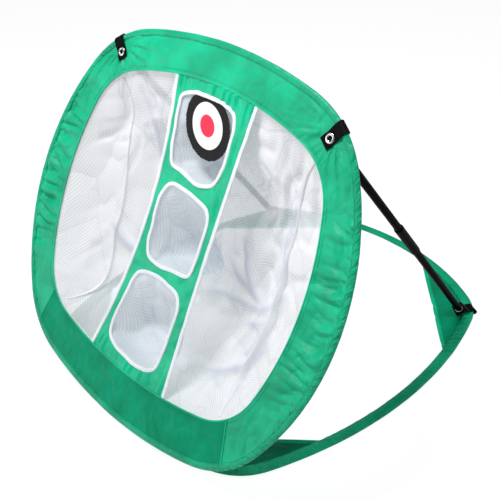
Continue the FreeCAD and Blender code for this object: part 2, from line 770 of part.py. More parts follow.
def make_pole(hand, right):
    reach = (front_eyelet_point(right) - foot_point(right)).Length
    tip = size["tip_collar"] + size["tip_nose_length"]
    low_end = tip - size["foot_nose_past"]
    high_end = reach - size["tip_clearance"] - tip
    joint = high_end - (high_end - low_end) * size["upper_share"]
    start = joint + size["pole_gap"]
    lower, upper = str(round(joint - low_end, 3)), str(round(high_end - start, 3))
    turned_part("pole_lower_" + hand, tube_corners(lower), pole_placement(right, low_end))
    turned_part("pole_upper_" + hand, tube_corners(upper), pole_placement(right, start))
    inner = "rod_radius + ferrule_fit"
    ferrule = [(inner, "0"), ("ferrule_radius", "0")]
    ferrule += [("ferrule_radius", "ferrule_length"), (inner, "ferrule_length")]
    ferrule_place = pole_placement(right, joint - size["ferrule_grip"])
    turned_part("pole_ferrule_" + hand, ferrule, ferrule_place)
    turned_part("pole_top_tip_" + hand, tip_corners("tip_nose_length"), pole_placement(right, high_end))
    down = FreeCAD.Placement(V(0, 0, 0), FreeCAD.Rotation(X_AXIS, 180))
    foot_place = pole_placement(right, low_end).multiply(down)
    turned_part("pole_foot_tip_" + hand, tip_corners("tip_nose_length"), foot_place)
    spigot = size["tip_spigot"]
    cord_place = pole_placement(right, low_end + spigot)
    cylinder_part("shock_cord_" + hand, "cord_radius", high_end - low_end - 2 * spigot, cord_place)
    at = pole_placement(right, -size["tab_thickness"] / 2)
    turned_part("rear_eyelet_" + hand, through(EYELET, "tab_thickness"), at)
    turned_part("rear_washer_" + hand, through(WASHER, "tab_thickness"), at)


make_front()
make_base()
for hand_name, is_right in (("left", False), ("right", True)):
    make_pole(hand_name, is_right)
doc.recompute()

faulty = [item.Label for item in doc.Objects if "Invalid" in item.State or "Error" in item.State]
for item in parts:
    if item.Shape.isNull() or not item.Shape.isValid() or not item.Shape.Solids:
        faulty.append(item.Label)
if faulty:
    raise RuntimeError("not sound: " + ", ".join(faulty))

os.makedirs("parts", exist_ok=True)
whole = FreeCAD.BoundBox()
for item in parts:
    item.Shape.exportStep("parts/%s.step" % item.Label)
    whole.add(item.Shape.BoundBox)
print("%d parts, box" % len(parts), [round(number, 2) for number in (
    whole.XMin, whole.XMax, whole.YMin, whole.YMax, whole.ZMin, whole.ZMax)])
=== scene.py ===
"""Pop-up golf chipping net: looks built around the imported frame, in metres, in the frame's own axes."""

import math

import bpy
import numpy as np
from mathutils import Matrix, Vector, noise


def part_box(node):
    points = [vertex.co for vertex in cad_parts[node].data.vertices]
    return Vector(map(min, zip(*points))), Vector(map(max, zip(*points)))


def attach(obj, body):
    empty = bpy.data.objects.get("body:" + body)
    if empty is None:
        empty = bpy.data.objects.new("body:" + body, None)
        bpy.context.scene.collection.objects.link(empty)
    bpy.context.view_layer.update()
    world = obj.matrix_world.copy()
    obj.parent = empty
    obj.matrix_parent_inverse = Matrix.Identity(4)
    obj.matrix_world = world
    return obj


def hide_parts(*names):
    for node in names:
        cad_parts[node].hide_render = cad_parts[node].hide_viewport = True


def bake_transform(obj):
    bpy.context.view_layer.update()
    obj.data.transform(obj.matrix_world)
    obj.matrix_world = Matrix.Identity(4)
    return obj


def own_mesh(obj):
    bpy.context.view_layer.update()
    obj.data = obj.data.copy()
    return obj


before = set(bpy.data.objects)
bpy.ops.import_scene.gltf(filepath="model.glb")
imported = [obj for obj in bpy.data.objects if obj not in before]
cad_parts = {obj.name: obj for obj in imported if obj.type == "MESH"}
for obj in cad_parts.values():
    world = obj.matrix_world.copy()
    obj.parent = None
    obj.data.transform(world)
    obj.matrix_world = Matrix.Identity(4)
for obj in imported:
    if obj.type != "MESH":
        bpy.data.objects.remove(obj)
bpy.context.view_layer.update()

# ------------------------------------------------------------------ sizes, as in the frame
LEAN = math.radians(26.5)  # how far the front panel leans back
FOOT_Y = -0.3274           # where the front panel's foot stands
LIFT = 0.001               # and how high
BASE_Y = 0.0047            # the base outline's middle
BASE_LIFT = 0.0036         # half of the base sleeve's height
FRONT_HALF = 0.2695        # half of the front panel's height
CLOTH = 0.0006             # thickness of the green cloth
BAND_FRONT = 0.010         # how far each sleeve reaches in from the hoop's edge
BAND_BASE = 0.017
RISE = 0.0077              # the opening's middle above the front panel's
OPEN_HALF = 0.2085         # half of the opening's height
BOW = 0.014                # how far the centre strip bows backwards
FORWARD = np.array([0.0, -math.cos(LEAN), math.sin(LEAN)])  # from the front panel towards the golfer
TAB_TURN = math.radians(54)  # the front tabs' direction from the corner's centre
EYELET_INSET = 0.0226        # from the front panel's edge to the eyelet's middle
FOOT_AT = np.array([0.2146, 0.2204, 0.013])  # the right rear eyelet


def on_front(points):
    """Front panel coordinates (right, up, towards the golfer) to the row frame."""
    p = np.asarray(points, float)
    out = np.empty_like(p)
    s = p[..., 1] + FRONT_HALF
    out[..., 0] = p[..., 0]
    out[..., 1] = FOOT_Y + s * math.sin(LEAN) - p[..., 2] * math.cos(LEAN)
    out[..., 2] = LIFT + s * math.cos(LEAN) + p[..., 2] * math.sin(LEAN)
    return out


def on_base(points):
    """Base coordinates (right, back, up) to the row frame."""
    return np.asarray(points, float) + np.array([0.0, BASE_Y, 0.0])


# ------------------------------------------------------------------ outlines of tangent arcs

EDGES = ("top", "right", "bottom", "left")


class Outline:
    """Four long bulging edges and four round corners, symmetric, clockwise from the upper left."""

    def __init__(self, half_width, half_height, side, top, bottom, corner, rise=0.0):
        self.r = {"side": side, "top": top, "bottom": bottom, "corner": corner}
        self.side_at = np.array([half_width - side, rise])
        self.top_at = np.array([0.0, rise + half_height - top])
        self.bottom_at = np.array([0.0, rise - half_height + bottom])
        self.upper_at = self.corner_centre(self.top_at, top)
        self.lower_at = self.corner_centre(self.bottom_at, bottom)
        t = [turn(self.top_at, self.upper_at), turn(self.side_at, self.upper_at)]
        t += [turn(self.side_at, self.lower_at), turn(self.bottom_at, self.lower_at)]
        self.turns = t
        self.upper_turn = (t[0] + t[1]) / 2
        self.lower_turn = (t[2] + t[3]) / 2

    def corner_centre(self, edge_at, edge):
        reach_side = self.r["side"] - self.r["corner"]
        reach_edge = edge - self.r["corner"]
        across = edge_at - self.side_at
        span = np.linalg.norm(across)
        along = (reach_side ** 2 - reach_edge ** 2 + span ** 2) / (2 * span)
        off = math.sqrt(reach_side ** 2 - along ** 2)
        unit = across / span
        normal = np.array([-unit[1], unit[0]])
        foot = self.side_at + unit * along
        return max(foot + normal * off, foot - normal * off, key=lambda p: p[0])

    def arcs(self, edge):
        """One edge as (centre, radius, first angle, last angle), with half of the corner at each end."""
        r, t = self.r, self.turns
        if edge == "right":
            return [(self.upper_at, r["corner"], self.upper_turn, t[1]),
                    (self.side_at, r["side"], t[1], t[2]),
                    (self.lower_at, r["corner"], t[2], self.lower_turn)]
        if edge == "left":
            return flipped(self.arcs("right"))
        if edge == "top":
            half = [(self.top_at, r["top"], math.pi / 2, t[0]),
                    (self.upper_at, r["corner"], t[0], self.upper_turn)]
            return flipped(half) + half
        half = [(self.lower_at, r["corner"], self.lower_turn, t[3]),
                (self.bottom_at, r["bottom"], t[3], -math.pi / 2)]
        return half + flipped(half)

    def edge_points(self, edge, count, inset=0.0):
        """Points evenly along one edge, from corner middle to corner middle, and outward normals."""
        return even_points(self.arcs(edge), count, inset)

    def edge_height(self, edge, u):
        """How high the top or bottom edge lies at a distance to the side of the middle."""
        r = self.r[edge]
        if edge == "top":
            return self.top_at[1] + np.sqrt(r * r - np.asarray(u) ** 2)
        return self.bottom_at[1] - np.sqrt(r * r - np.asarray(u) ** 2)

    def ring(self, step, inset=0.0):
        """Points round the whole outline about a step apart, and their outward normals."""
        points, normals = [], []
        for edge in EDGES:
            count = max(8, round(arcs_length(self.arcs(edge), 0.0) / step)) + 1
            p, n = self.edge_points(edge, count, inset)
            points.append(p[:-1])
            normals.append(n[:-1])
        return np.concatenate(points), np.concatenate(normals)


def turn(a, b):
    return math.atan2(b[1] - a[1], b[0] - a[0])


def unit_rows(rows):
    return rows / np.maximum(np.linalg.norm(rows, axis=1), 1e-12)[:, None]


def running_length(path):
    return np.concatenate([[0], np.cumsum(np.linalg.norm(np.diff(path, axis=0), axis=1))])


def at_lengths(path, run, at):
    """The places on a path at some running lengths."""
    return np.stack([np.interp(at, run, path[:, k]) for k in range(path.shape[1])], -1)


def softened(path, rounds=6):
    """A path whose ends stay while the places between them settle towards their neighbours."""
    path = path.copy()
    for _ in range(rounds):
        path[1:-1] = (path[:-2] + 2 * path[1:-1] + path[2:]) / 4
    return path


def flipped(arcs):
    return [(np.array([-c[0], c[1]]), r, math.pi - e, math.pi - s) for c, r, s, e in reversed(arcs)]


def arcs_length(arcs, inset):
    return sum(abs(e - s) * (r - inset) for _, r, s, e in arcs)


def even_points(arcs, count, inset=0.0):
    lengths = [abs(e - s) * (r - inset) for _, r, s, e in arcs]
    ends = np.concatenate([[0.0], np.cumsum(lengths)])
    points, normals = np.empty((count, 2)), np.empty((count, 2))
    for k, at in enumerate(np.linspace(0, ends[-1], count)):
        i = min(int(np.searchsorted(ends, at, side="right")) - 1, len(arcs) - 1)
        c, r, s, e = arcs[i]
        a = s + (e - s) * (at - ends[i]) / lengths[i]
        normals[k] = math.cos(a), math.sin(a)
        points[k] = c + normals[k] * (r - inset)
    return points, normals


FRONT = Outline(0.300, FRONT_HALF, 0.3504, 0.661, 0.618, 0.1482)
BASE = Outline(0.2769, 0.3251, 0.6648, 0.3715, 0.640, 0.0971)
OPENING = Outline(0.2389, OPEN_HALF, 0.4117, 0.5317, 0.6518, 0.0938, RISE)


# ------------------------------------------------------------------ cloth by constraint relaxation

def grid_links(rows, columns, wrap, bend, present=None):
    """Pairs of neighbours in a grid of cloth, and how firmly each pair keeps its length."""
    index = np.arange(rows * columns).reshape(rows, columns)
    pairs, firm = [], []
    for di, dj, k in ((1, 0, 1.0), (0, 1, 1.0), (1, 1, 0.5), (1, -1, 0.5), (2, 0, bend), (0, 2, bend)):
        a = index if wrap else index[:rows - di]
        b = np.roll(index, -di, 0) if wrap else index[di:]
        a, b = (a[:, :columns - dj], b[:, dj:]) if dj >= 0 else (a[:, -dj:], b[:, :dj])
        pair = np.stack([a.ravel(), b.ravel()], 1)
        pairs.append(pair)
        firm.append(np.full(len(pair), k))
    pairs, firm = np.concatenate(pairs), np.concatenate(firm)
    if present is not None:
        keep = present.ravel()[pairs].all(1)
        pairs, firm = pairs[keep], firm[keep]
    return pairs, firm


def relax(points, pairs, firm, lengths, fixed, push=(0, 0, 0), steps=40, rounds=10, drag=0.9, hold=None):
    """Lets cloth move under a steady push until its threads have their lengths again."""
    p = points.reshape(-1, 3).copy()
    old = p.copy()
    a, b = pairs[:, 0], pairs[:, 1]
    count = len(p)
    load = np.bincount(a, firm, count) + np.bincount(b, firm, count)
    share = (1.5 / np.maximum(load, 1e-9))[:, None]
    share[fixed.ravel()] = 0.0
    push = np.asarray(push, float) * (share > 0)
    for _ in range(steps):
        moved = (p - old) * drag + push
        old = p.copy()
        p = p + moved
        for _ in range(rounds):
            d = p[b] - p[a]
            length = np.maximum(np.linalg.norm(d, axis=1), 1e-9)
            d *= (firm * (length - lengths) / length * 0.5)[:, None]
            pull = [np.bincount(a, way, count) - np.bincount(b, way, count) for way in d.T]
            p += np.stack(pull, 1) * share
            if hold is not None:
                p = hold(p)
    return p.reshape(points.shape)


def longer(points, pairs, tangents, factor):
    """Lengths of the cloth's threads before it was gathered: longer by a factor along the tangents."""
    p = points.reshape(-1, 3)
    t = tangents.reshape(-1, 3)[pairs[:, 0]]
    d = p[pairs[:, 1]] - p[pairs[:, 0]]
    along = (d * t).sum(1)
    extra = (factor.ravel()[pairs[:, 0]] - 1) * along
    return np.linalg.norm(d + extra[:, None] * t, axis=1)


def rest_lengths(points, pairs, slack):
    """The lengths of the cloth's threads where they lie, times a little slack."""
    q = points.reshape(-1, 3)
    return np.linalg.norm(q[pairs[:, 1]] - q[pairs[:, 0]], axis=1) * slack


def ripples(points, scale, seed):
    """Smooth random heights, one for each point."""
    places = points.reshape(-1, 3) * scale + np.array([0.0, 0.0, seed])
    return np.array([noise.noise(Vector(p)) for p in places]).reshape(points.shape[:-1])


def wave_along(run, seed):
    """Smooth random heights along a line."""
    return np.array([noise.noise(Vector((at, seed, 0.0))) for at in run])


def creases(points, across, along, seed):
    """Sharp valleys between broad swells; across and along are how many a metre in the two directions."""
    stretched = np.array(points, float).copy()
    stretched[..., 0] *= across
    stretched[..., 1] *= along
    return np.minimum(np.abs(ripples(stretched, 1.0, seed)) * 2.4, 0.75) - 0.35


def fade(x, low, high):
    """From 0 at low to 1 at high, smoothly."""
    t = np.clip((x - low) / (high - low), 0, 1)
    return t * t * (3 - 2 * t)


# ------------------------------------------------------------------ meshes

def piece(name, verts, faces, uvs=None, subdivide=0, thick=0.0):
    """A smooth-shaded mesh with its thickness and subdivision as modifiers."""
    mesh = bpy.data.meshes.new(name)
    mesh.from_pydata([tuple(v) for v in np.asarray(verts, float).reshape(-1, 3)], [], faces)
    mesh.update()
    if uvs is not None:
        layer = mesh.uv_layers.new(name="UVMap")
        loops = np.empty(len(mesh.loops), np.int32)
        mesh.loops.foreach_get("vertex_index", loops)
        layer.data.foreach_set("uv", np.asarray(uvs, float).reshape(-1, 2)[loops].ravel())
    mesh.polygons.foreach_set("use_smooth", [True] * len(mesh.polygons))
    obj = bpy.data.objects.new(name, mesh)
    bpy.context.scene.collection.objects.link(obj)
    if thick:
        solid = obj.modifiers.new("thickness", "SOLIDIFY")
        solid.thickness = thick
        solid.offset = 0
    if subdivide:
        sub = obj.modifiers.new("smooth", "SUBSURF")
        sub.levels = subdivide
        sub.render_levels = subdivide
    return obj


def grid_faces(rows, columns, wrap=False, wrap_columns=False, present=None):
    faces = []
    for i in range(rows if wrap else rows - 1):
        k = (i + 1) % rows
        for j in range(columns if wrap_columns else columns - 1):
            m = (j + 1) % columns
            if present is None or present[[i, k, i, k], [j, j, m, m]].all():
                faces.append((i * columns + j, i * columns + m, k * columns + m, k * columns + j))
    return faces


def used_only(verts, faces, uvs):
    """The same faces without points that none of them use."""
    used = sorted({v for f in faces for v in f})
    place = {v: i for i, v in enumerate(used)}
    flat = np.asarray(verts).reshape(-1, 3)[used]
    return flat, [tuple(place[v] for v in f) for f in faces], uvs.reshape(-1, 2)[used]


def sweep(name, path, across, up, section, closed=True, subdivide=0):
    """A closed section of (across, up) offsets carried along a path; the section may vary by station."""
    n = len(path)
    section = np.asarray(section, float)
    if section.ndim == 2:
        section = np.broadcast_to(section, (n, *section.shape))
    m = section.shape[1]
    verts = path[:, None] + across[:, None] * section[..., :1] + up[:, None] * section[..., 1:]
    faces = grid_faces(n, m, wrap=closed, wrap_columns=True)
    if not closed:
        faces.append(tuple(range(m)))
        faces.append(tuple(range(n * m - 1, (n - 1) * m - 1, -1)))
    uv = np.zeros((n, m, 2))
    uv[..., 0] = running_length(path)[:, None]
    uv[..., 1] = np.linspace(0, 0.02, m)[None]
    return piece(name, verts, faces, uv, subdivide)


def oval(width, thick, count=12, power=0.75):
    """A flat oval section."""
    a = np.linspace(0, 2 * math.pi, count, endpoint=False)
    round_at = np.stack([np.cos(a), np.sin(a)], 1)
    return np.sign(round_at) * np.abs(round_at) ** power * np.array([width, thick]) / 2


def tangents_of(path, closed=True):
    return unit_rows(np.roll(path, -1, 0) - np.roll(path, 1, 0) if closed else np.gradient(path, axis=0))


def between(a, b, c, d, t):
    """A place on the smooth curve from b to c whose neighbours are a and d."""
    bend = (2 * a - 5 * b + 4 * c - d) * t * t
    twist = (3 * b - a - 3 * c + d) * t ** 3
    return 0.5 * (2 * b + (c - a) * t + bend + twist)


def smooth_path(points, count):
    """A smooth line through points."""
    p = np.array(points, float)
    run = running_length(p)
    padded = np.concatenate([[2 * p[0] - p[1]], p, [2 * p[-1] - p[-2]]])
    out = []
    for at in np.linspace(0, run[-1], count):
        k = min(int(np.searchsorted(run, at, side="right")) - 1, len(p) - 2)
        t = (at - run[k]) / (run[k + 1] - run[k])
        out.append(between(*padded[k:k + 4], t))
    return np.array(out)


def stitches(name, path, up, gap=0.0034, length=0.0024, radius=0.00028, closed=True):
    """A row of thread stitches that lie on a path."""
    p = np.concatenate([path, path[:1]]) if closed else path
    w = np.concatenate([up, up[:1]]) if closed else up
    run = running_length(p)
    count = max(1, int(run[-1] / gap))
    middle = (np.arange(count) + 0.5) * run[-1] / count
    verts, faces = [], []
    shape = ((-0.5, 0.25), (-0.3, 0.9), (0.0, 1.0), (0.3, 0.9), (0.5, 0.25))
    turns = np.arange(6) * math.pi / 3
    for at in middle:
        here = at_lengths(p, run, at)
        along = at_lengths(p, run, min(at + length, run[-1])) - at_lengths(p, run, max(at - length, 0))
        along /= max(np.linalg.norm(along), 1e-9)
        lift = at_lengths(w, run, at)
        lift = lift - along * (lift @ along)
        lift /= max(np.linalg.norm(lift), 1e-9)
        side = np.cross(along, lift)
        first = len(verts)
        for place, swell in shape:
            for a in turns:
                out = side * math.cos(a) + lift * (math.sin(a) * 0.8 + 0.25)
                verts.append(here + along * place * length + out * radius * swell)
        for s in range(len(shape) - 1):
            for k in range(6):
                low, q = first + s * 6, (k + 1) % 6
                faces.append((low + k, low + q, low + 6 + q, low + 6 + k))
        faces.append(tuple(first + k for k in reversed(range(6))))
        faces.append(tuple(first + (len(shape) - 1) * 6 + k for k in range(6)))
    return piece(name, verts, faces)


# ------------------------------------------------------------------ materials

SOFT_STEP = {"interpolation_type": "SMOOTHSTEP"}


def shader(name, colour, roughness, **sockets):
    material = bpy.data.materials.new(name)
    material.use_nodes = True
    tree = material.node_tree
    principled = tree.nodes["Principled BSDF"]
    principled.inputs["Base Color"].default_value = (*colour, 1)
    principled.inputs["Roughness"].default_value = roughness
    for socket, value in sockets.items():
        principled.inputs[socket.replace("_", " ")].default_value = value
    return material, tree, principled


def node(tree, kind, values=None, links=None, **settings):
    """A shader node with its settings, its inputs' values, and the (node, output) that feeds other inputs."""
    made = tree.nodes.new("ShaderNode" + kind)
    for key, value in settings.items():
        setattr(made, key, value)
    for socket, value in (values or {}).items():
        made.inputs[socket].default_value = value
    for socket, (source, out) in (links or {}).items():
        tree.links.new(source.outputs[out], made.inputs[socket])
    return made


def link(tree, source, out, target, socket):
    tree.links.new(source.outputs[out], target.inputs[socket])


def remap(tree, source, out, start, end, first, last, **settings):
    """A value carried from one range to another, and held at its ends."""
    values = {"From Min": start, "From Max": end, "To Min": first, "To Max": last}
    return node(tree, "MapRange", values, {"Value": (source, out)}, **settings)


def cloud_of(tree, source, out, scale, detail, distortion=0.0):
    values = {"Scale": scale, "Detail": detail, "Distortion": distortion}
    return node(tree, "TexNoise", values, {"Vector": (source, out)})


def bump_of(tree, height, out, strength, distance, under=None):
    """A height in metres as bump, on top of another bump when there is one."""
    links = {"Height": (height, out)}
    if under is not None:
        links["Normal"] = (under, "Normal")
    return node(tree, "Bump", {"Strength": strength, "Distance": distance}, links)


def mottled(tree, principled, dark, light, scale, detail=3.0):
    """Colour that drifts between two shades; gives back the coordinates that it used."""
    where = node(tree, "TexCoord")
    cloud = cloud_of(tree, where, "Object", scale, detail)
    ramp = node(tree, "ValToRGB", links={"Fac": (cloud, "Fac")})
    for element, place, colour in zip(ramp.color_ramp.elements, (0.35, 0.65), (dark, light)):
        element.position = place
        element.color = (*colour, 1)
    link(tree, ramp, "Color", principled, "Base Color")
    return where


def crumple(tree, where, scale, detail=2.0, distortion=0.4, upright=1.0):
    """How far a noise is from its middle value: broad swells that meet in sharp creases."""
    drawn = node(tree, "Mapping", {"Scale": (1.0, 1.0, upright)}, {"Vector": (where, "Object")})
    cloud = cloud_of(tree, drawn, "Vector", scale, detail, distortion)
    shifted = node(tree, "Math", {1: 0.5}, {0: (cloud, "Fac")}, operation="SUBTRACT")
    return node(tree, "Math", links={0: (shifted, 0)}, operation="ABSOLUTE")


def weave(tree, principled, where, pitch, depth, crinkle=0.0):
    """Threads crossing at right angles over faint creases, as bump; gives back the last bump."""
    values = {"Scale": math.pi / 10 / pitch, "Distortion": 0.6, "Detail": 1.0, "Detail Scale": 0.3}
    threads = [node(tree, "TexWave", values, {"Vector": (where, "Object")}, wave_type="BANDS",
                    bands_direction=direction, wave_profile="SIN") for direction in ("X", "Z")]
    total = node(tree, "Math", links={0: (threads[0], "Fac"), 1: (threads[1], "Fac")}, operation="MAXIMUM")
    under = None
    if crinkle:
        under = bump_of(tree, crumple(tree, where, 20.0), 0, 0.8, crinkle * 4)
    bump = bump_of(tree, total, 0, 0.6, depth, under)
    link(tree, bump, "Normal", principled, "Normal")
    return bump


def gathers(tree, principled, under, reach, depth):
    """Short slanting gathers that fade over the cloth's first few millimetres from its outer seam."""
    uv = node(tree, "UVMap", uv_map="UVMap")
    turned = node(tree, "Mapping", {"Rotation": (0, 0, math.radians(52))}, {"Vector": (uv, "UV")})
    stretched = node(tree, "Mapping", {"Scale": (34.0, 150.0, 1.0)}, {"Vector": (turned, "Vector")})
    strokes = cloud_of(tree, stretched, "Vector", 1.0, 1.5)
    parts = node(tree, "SeparateXYZ", links={"Vector": (uv, "UV")})
    mask = remap(tree, parts, "Y", reach * 0.3, reach, 1.0, 0.0, **SOFT_STEP)
    height = node(tree, "Math", links={0: (strokes, "Fac"), 1: (mask, 0)}, operation="MULTIPLY")
    bump = bump_of(tree, height, 0, 1.0, depth, under)
    link(tree, bump, "Normal", principled, "Normal")


def cloth_material(name, dark, light, pitch=0.0011, depth=0.00006, roughness=0.36, gloss=0.24, crinkle=0.0,
                   gathered=0.0):
    material, tree, principled = shader(name, light, roughness, Specular_IOR_Level=gloss)
    where = mottled(tree, principled, dark, light, 22.0)
    bump = weave(tree, principled, where, pitch, depth, crinkle)
    if gathered:
        gathers(tree, principled, bump, gathered, 0.005)
    return material


def mesh_holes(tree, pitch, closed):
    """How clear the mesh is: round holes in a staggered lattice, in the cloth's own coordinates."""
    uv = node(tree, "UVMap", uv_map="UVMap")
    k = 2 * math.pi / (pitch * math.sqrt(3) / 2)
    waves = []
    for angle in (0, 60, 120):
        a = math.radians(angle)
        dot = node(tree, "VectorMath", {1: (math.cos(a) * k, math.sin(a) * k, 0)}, {0: (uv, "UV")},
                   operation="DOT_PRODUCT")
        waves.append(node(tree, "Math", links={0: (dot, "Value")}, operation="COSINE"))
    pair = node(tree, "Math", links={0: (waves[0], 0), 1: (waves[1], 0)}, operation="ADD")
    total = node(tree, "Math", links={0: (pair, 0), 1: (waves[2], 0)}, operation="ADD")
    return remap(tree, total, 0, 0.2, 1.6, 0.16, 1 - closed, **SOFT_STEP)


def mesh_creases(tree, where):
    """Facets that meet in sharp creases, as a height, and a mask of the creases and of where the mesh lies
    doubled, which drives painted crease shade and thicker mesh.
    """
    bent = cloud_of(tree, where, "Object", 14.0, 1.0)
    moved = node(tree, "VectorMath", {1: (0.035, 0.035, 0.035)}, {0: (bent, "Color"), 2: (where, "Object")},
                 operation="MULTIPLY_ADD")
    drawn = node(tree, "Mapping", {"Scale": (1.0, 1.0, 0.42)}, {"Vector": (moved, "Vector")})
    large = node(tree, "TexVoronoi", {"Scale": 11.0}, {"Vector": (drawn, "Vector")},
                 feature="DISTANCE_TO_EDGE")
    small = crumple(tree, where, 17.0, 1.0, 0.2, 0.55)
    ridges = node(tree, "Math", {1: 0.45}, {0: (small, 0), 2: (large, "Distance")},
                  operation="MULTIPLY_ADD")
    least = node(tree, "Math", links={0: (large, "Distance"), 1: (small, 0)}, operation="MINIMUM")
    crease = remap(tree, least, 0, 0.0, 0.015, 0.5, 0.0, **SOFT_STEP)
    pinched = node(tree, "Attribute", attribute_name="doubled")
    doubled = node(tree, "Math", links={0: (crease, 0), 1: (pinched, "Fac")}, operation="MAXIMUM")
    return ridges, doubled


def mesh_material(name, colour, pitch, closed, crinkle):
    """Knitted mesh that is clear through its holes, less so where it lies doubled or hangs high, with painted
    blue-grey shade along its creases and folds.
    """
    material, tree, principled = shader(name, colour, 0.6, Specular_IOR_Level=0.2)
    hole = mesh_holes(tree, pitch, closed)
    where = node(tree, "TexCoord")
    ridges, doubled = mesh_creases(tree, where)
    # painted shade: the mesh turns a darker blue-grey along its creases and folds; the same mask also makes
    # it less clear there
    crease_shade_tint = node(tree, "ValToRGB", links={"Fac": (doubled, 0)})
    crease_shade_tint.color_ramp.elements[0].color = (*colour, 1)
    crease_shade_tint.color_ramp.elements[1].color = (colour[0] * 0.70, colour[1] * 0.74, colour[2] * 0.86, 1)
    link(tree, crease_shade_tint, "Color", principled, "Base Color")
    shut = node(tree, "Math", {1: -0.55, 2: 1.0}, {0: (doubled, 0)}, operation="MULTIPLY_ADD")
    parts = node(tree, "SeparateXYZ", links={"Vector": (where, "Object")})
    slack = remap(tree, parts, "Z", 0.24, 0.40, 1.0, 0.55, **SOFT_STEP)
    closing = node(tree, "Math", links={0: (shut, 0), 1: (slack, 0)}, operation="MULTIPLY")
    opened = node(tree, "Math", links={0: (hole, 0), 1: (closing, 0)}, operation="MULTIPLY")
    bump = bump_of(tree, ridges, 0, 0.8, crinkle)
    link(tree, bump, "Normal", principled, "Normal")
    through = node(tree, "BsdfTranslucent", links={"Color": (crease_shade_tint, "Color"), "Normal": (bump, "Normal")})
    body = node(tree, "MixShader", {0: 0.45}, {1: (principled, 0), 2: (through, 0)})
    clear = node(tree, "BsdfTransparent")
    mix = node(tree, "MixShader", links={0: (opened, 0), 1: (body, 0), 2: (clear, 0)})
    link(tree, mix, 0, tree.nodes["Material Output"], "Surface")
    return material


# how far from the target's middle each colour starts and ends, in metres
PRINT_RED, PRINT_WHITE, PRINT_BLACK = (0.86, 0.035, 0.085), (0.88, 0.88, 0.88), (0.006, 0.006, 0.007)
PRINT_RINGS = ((0.0, PRINT_RED), (0.0135, PRINT_RED), (0.0142, PRINT_WHITE), (0.0285, PRINT_WHITE),
               (0.0292, PRINT_BLACK), (0.05, (0.010, 0.010, 0.012)))
PRINT_REACH = 0.05


def ring_material():
    """Printed target: red middle, white ring, black ground, by distance in the cloth's own coordinates."""
    material, tree, principled = shader("target_print", (0.8, 0.8, 0.8), 0.6, Specular_IOR_Level=0.2)
    uv = node(tree, "UVMap", uv_map="UVMap")
    length = node(tree, "VectorMath", links={0: (uv, "UV")}, operation="LENGTH")
    scale = node(tree, "Math", {1: 1 / PRINT_REACH}, {0: (length, "Value")}, operation="MULTIPLY")
    ramp = node(tree, "ValToRGB", links={"Fac": (scale, 0)})
    while len(ramp.color_ramp.elements) < len(PRINT_RINGS):
        ramp.color_ramp.elements.new(1.0)
    for element, (place, colour) in zip(ramp.color_ramp.elements, PRINT_RINGS):
        element.position = place / PRINT_REACH
        element.color = (*colour, 1)
    link(tree, ramp, "Color", principled, "Base Color")
    weave(tree, principled, node(tree, "TexCoord"), 0.0012, 0.00008)
    return material


def speckled(name, dark, light, roughness, scale, bump_depth, metallic=0.0, spread=0.15, **sockets):
    """Moulded or drawn surface with faint grain in its colour, gloss and height."""
    material, tree, principled = shader(name, light, roughness, Metallic=metallic, **sockets)
    where = mottled(tree, principled, dark, light, scale, 6.0)
    grain = cloud_of(tree, where, "Object", scale * 6, 4.0)
    gloss = remap(tree, grain, "Fac", 0.0, 1.0, max(0.02, roughness - spread), min(1.0, roughness + spread))
    link(tree, gloss, 0, principled, "Roughness")
    bump = bump_of(tree, grain, "Fac", 0.4, bump_depth)
    link(tree, bump, "Normal", principled, "Normal")
    return material


